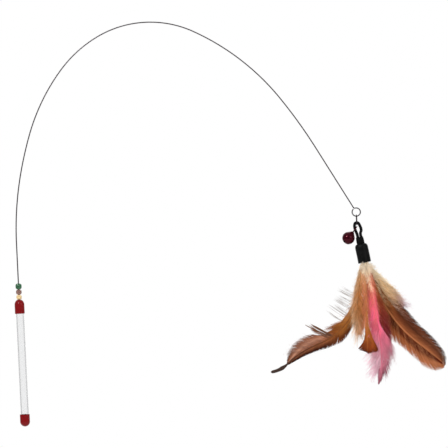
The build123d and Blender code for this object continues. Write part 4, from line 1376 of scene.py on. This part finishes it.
floorMaterial, tree, shader = newMaterial("paleFloor", Base_Color=studio["floorColour"],
                                          Roughness=studio["floorRough"], Emission_Color=white)
rays = addNode(tree, "LightPath")
place = addNode(tree, "TexCoord")
outward = addNode(tree, "VectorMath")
outward.operation = "DISTANCE"
outward.inputs[1].default_value = (studio["floorMiddle"], 0, floorZ)
tree.links.new(place.outputs["Object"], outward.inputs[0])
glow = rangeNode(tree, outward.outputs["Value"], studio["fade"])
glow.inputs["To Max"].default_value = studio["floorGlow"]
shown = mathNode(tree, "MULTIPLY", rays.outputs["Is Camera Ray"], glow.outputs["Result"])
tree.links.new(shown, shader.inputs["Emission Strength"])
floorMesh = bpy.data.meshes.new("floor")
corners = [(-half, -half), (half, -half), (half, half), (-half, half)]
floorMesh.from_pydata([(studio["floorMiddle"] + x, y, floorZ) for x, y in corners], [], [(0, 1, 2, 3)])
floorMesh.materials.append(floorMaterial)
floor = bpy.data.objects.new("floor", floorMesh)
scene.collection.objects.link(floor)

world = bpy.data.worlds.new("studioWorld")
scene.world = world
world.use_nodes = True
tree = world.node_tree
tree.nodes.clear()


def background(colour, strength=1.0):
    return addNode(tree, "Background", Color=colour, Strength=strength).outputs["Background"]


def mixedShaders(share, first, second):
    node = addNode(tree, "MixShader")
    for socket, value in zip(node.inputs, (share, first, second)):
        feed(tree, socket, value)
    return node.outputs["Shader"]


rays = addNode(tree, "LightPath")
place = addNode(tree, "TexCoord")
split = addNode(tree, "SeparateXYZ", Vector=place.outputs["Generated"])
sideways = mathNode(tree, "ABSOLUTE", split.outputs["X"])
side = rangeNode(tree, sideways, studio["sides"])
sideLight = colourMix(tree, side.outputs["Result"], white, (studio["sideShade"],) * 3 + (1,))
front = rangeNode(tree, split.outputs["Y"], studio["front"])
roomLight = colourMix(tree, front.outputs["Result"], sideLight, (studio["frontShade"],) * 3 + (1,))
mirrored = mathNode(tree, "MAXIMUM", rays.outputs["Is Glossy Ray"], rays.outputs["Is Transmission Ray"])
unseen = mixedShaders(mirrored, background(white, studio["ambient"]), background(roomLight))
seen = mixedShaders(rays.outputs["Is Camera Ray"], unseen, background(white))
addNode(tree, "OutputWorld", Surface=seen)

for name, lamp in studio["lamps"].items():
    lampData = bpy.data.lights.new(name, "AREA")
    lampData.size = lamp["size"]
    lampData.energy = lamp["power"]
    lampObject = bpy.data.objects.new(name, lampData)
    lampObject.location = lamp["place"]
    aim = Vector(studio["aim"]) - Vector(lamp["place"])
    lampObject.rotation_euler = aim.to_track_quat("-Z", "Y").to_euler()
    scene.collection.objects.link(lampObject)
print("studio set")
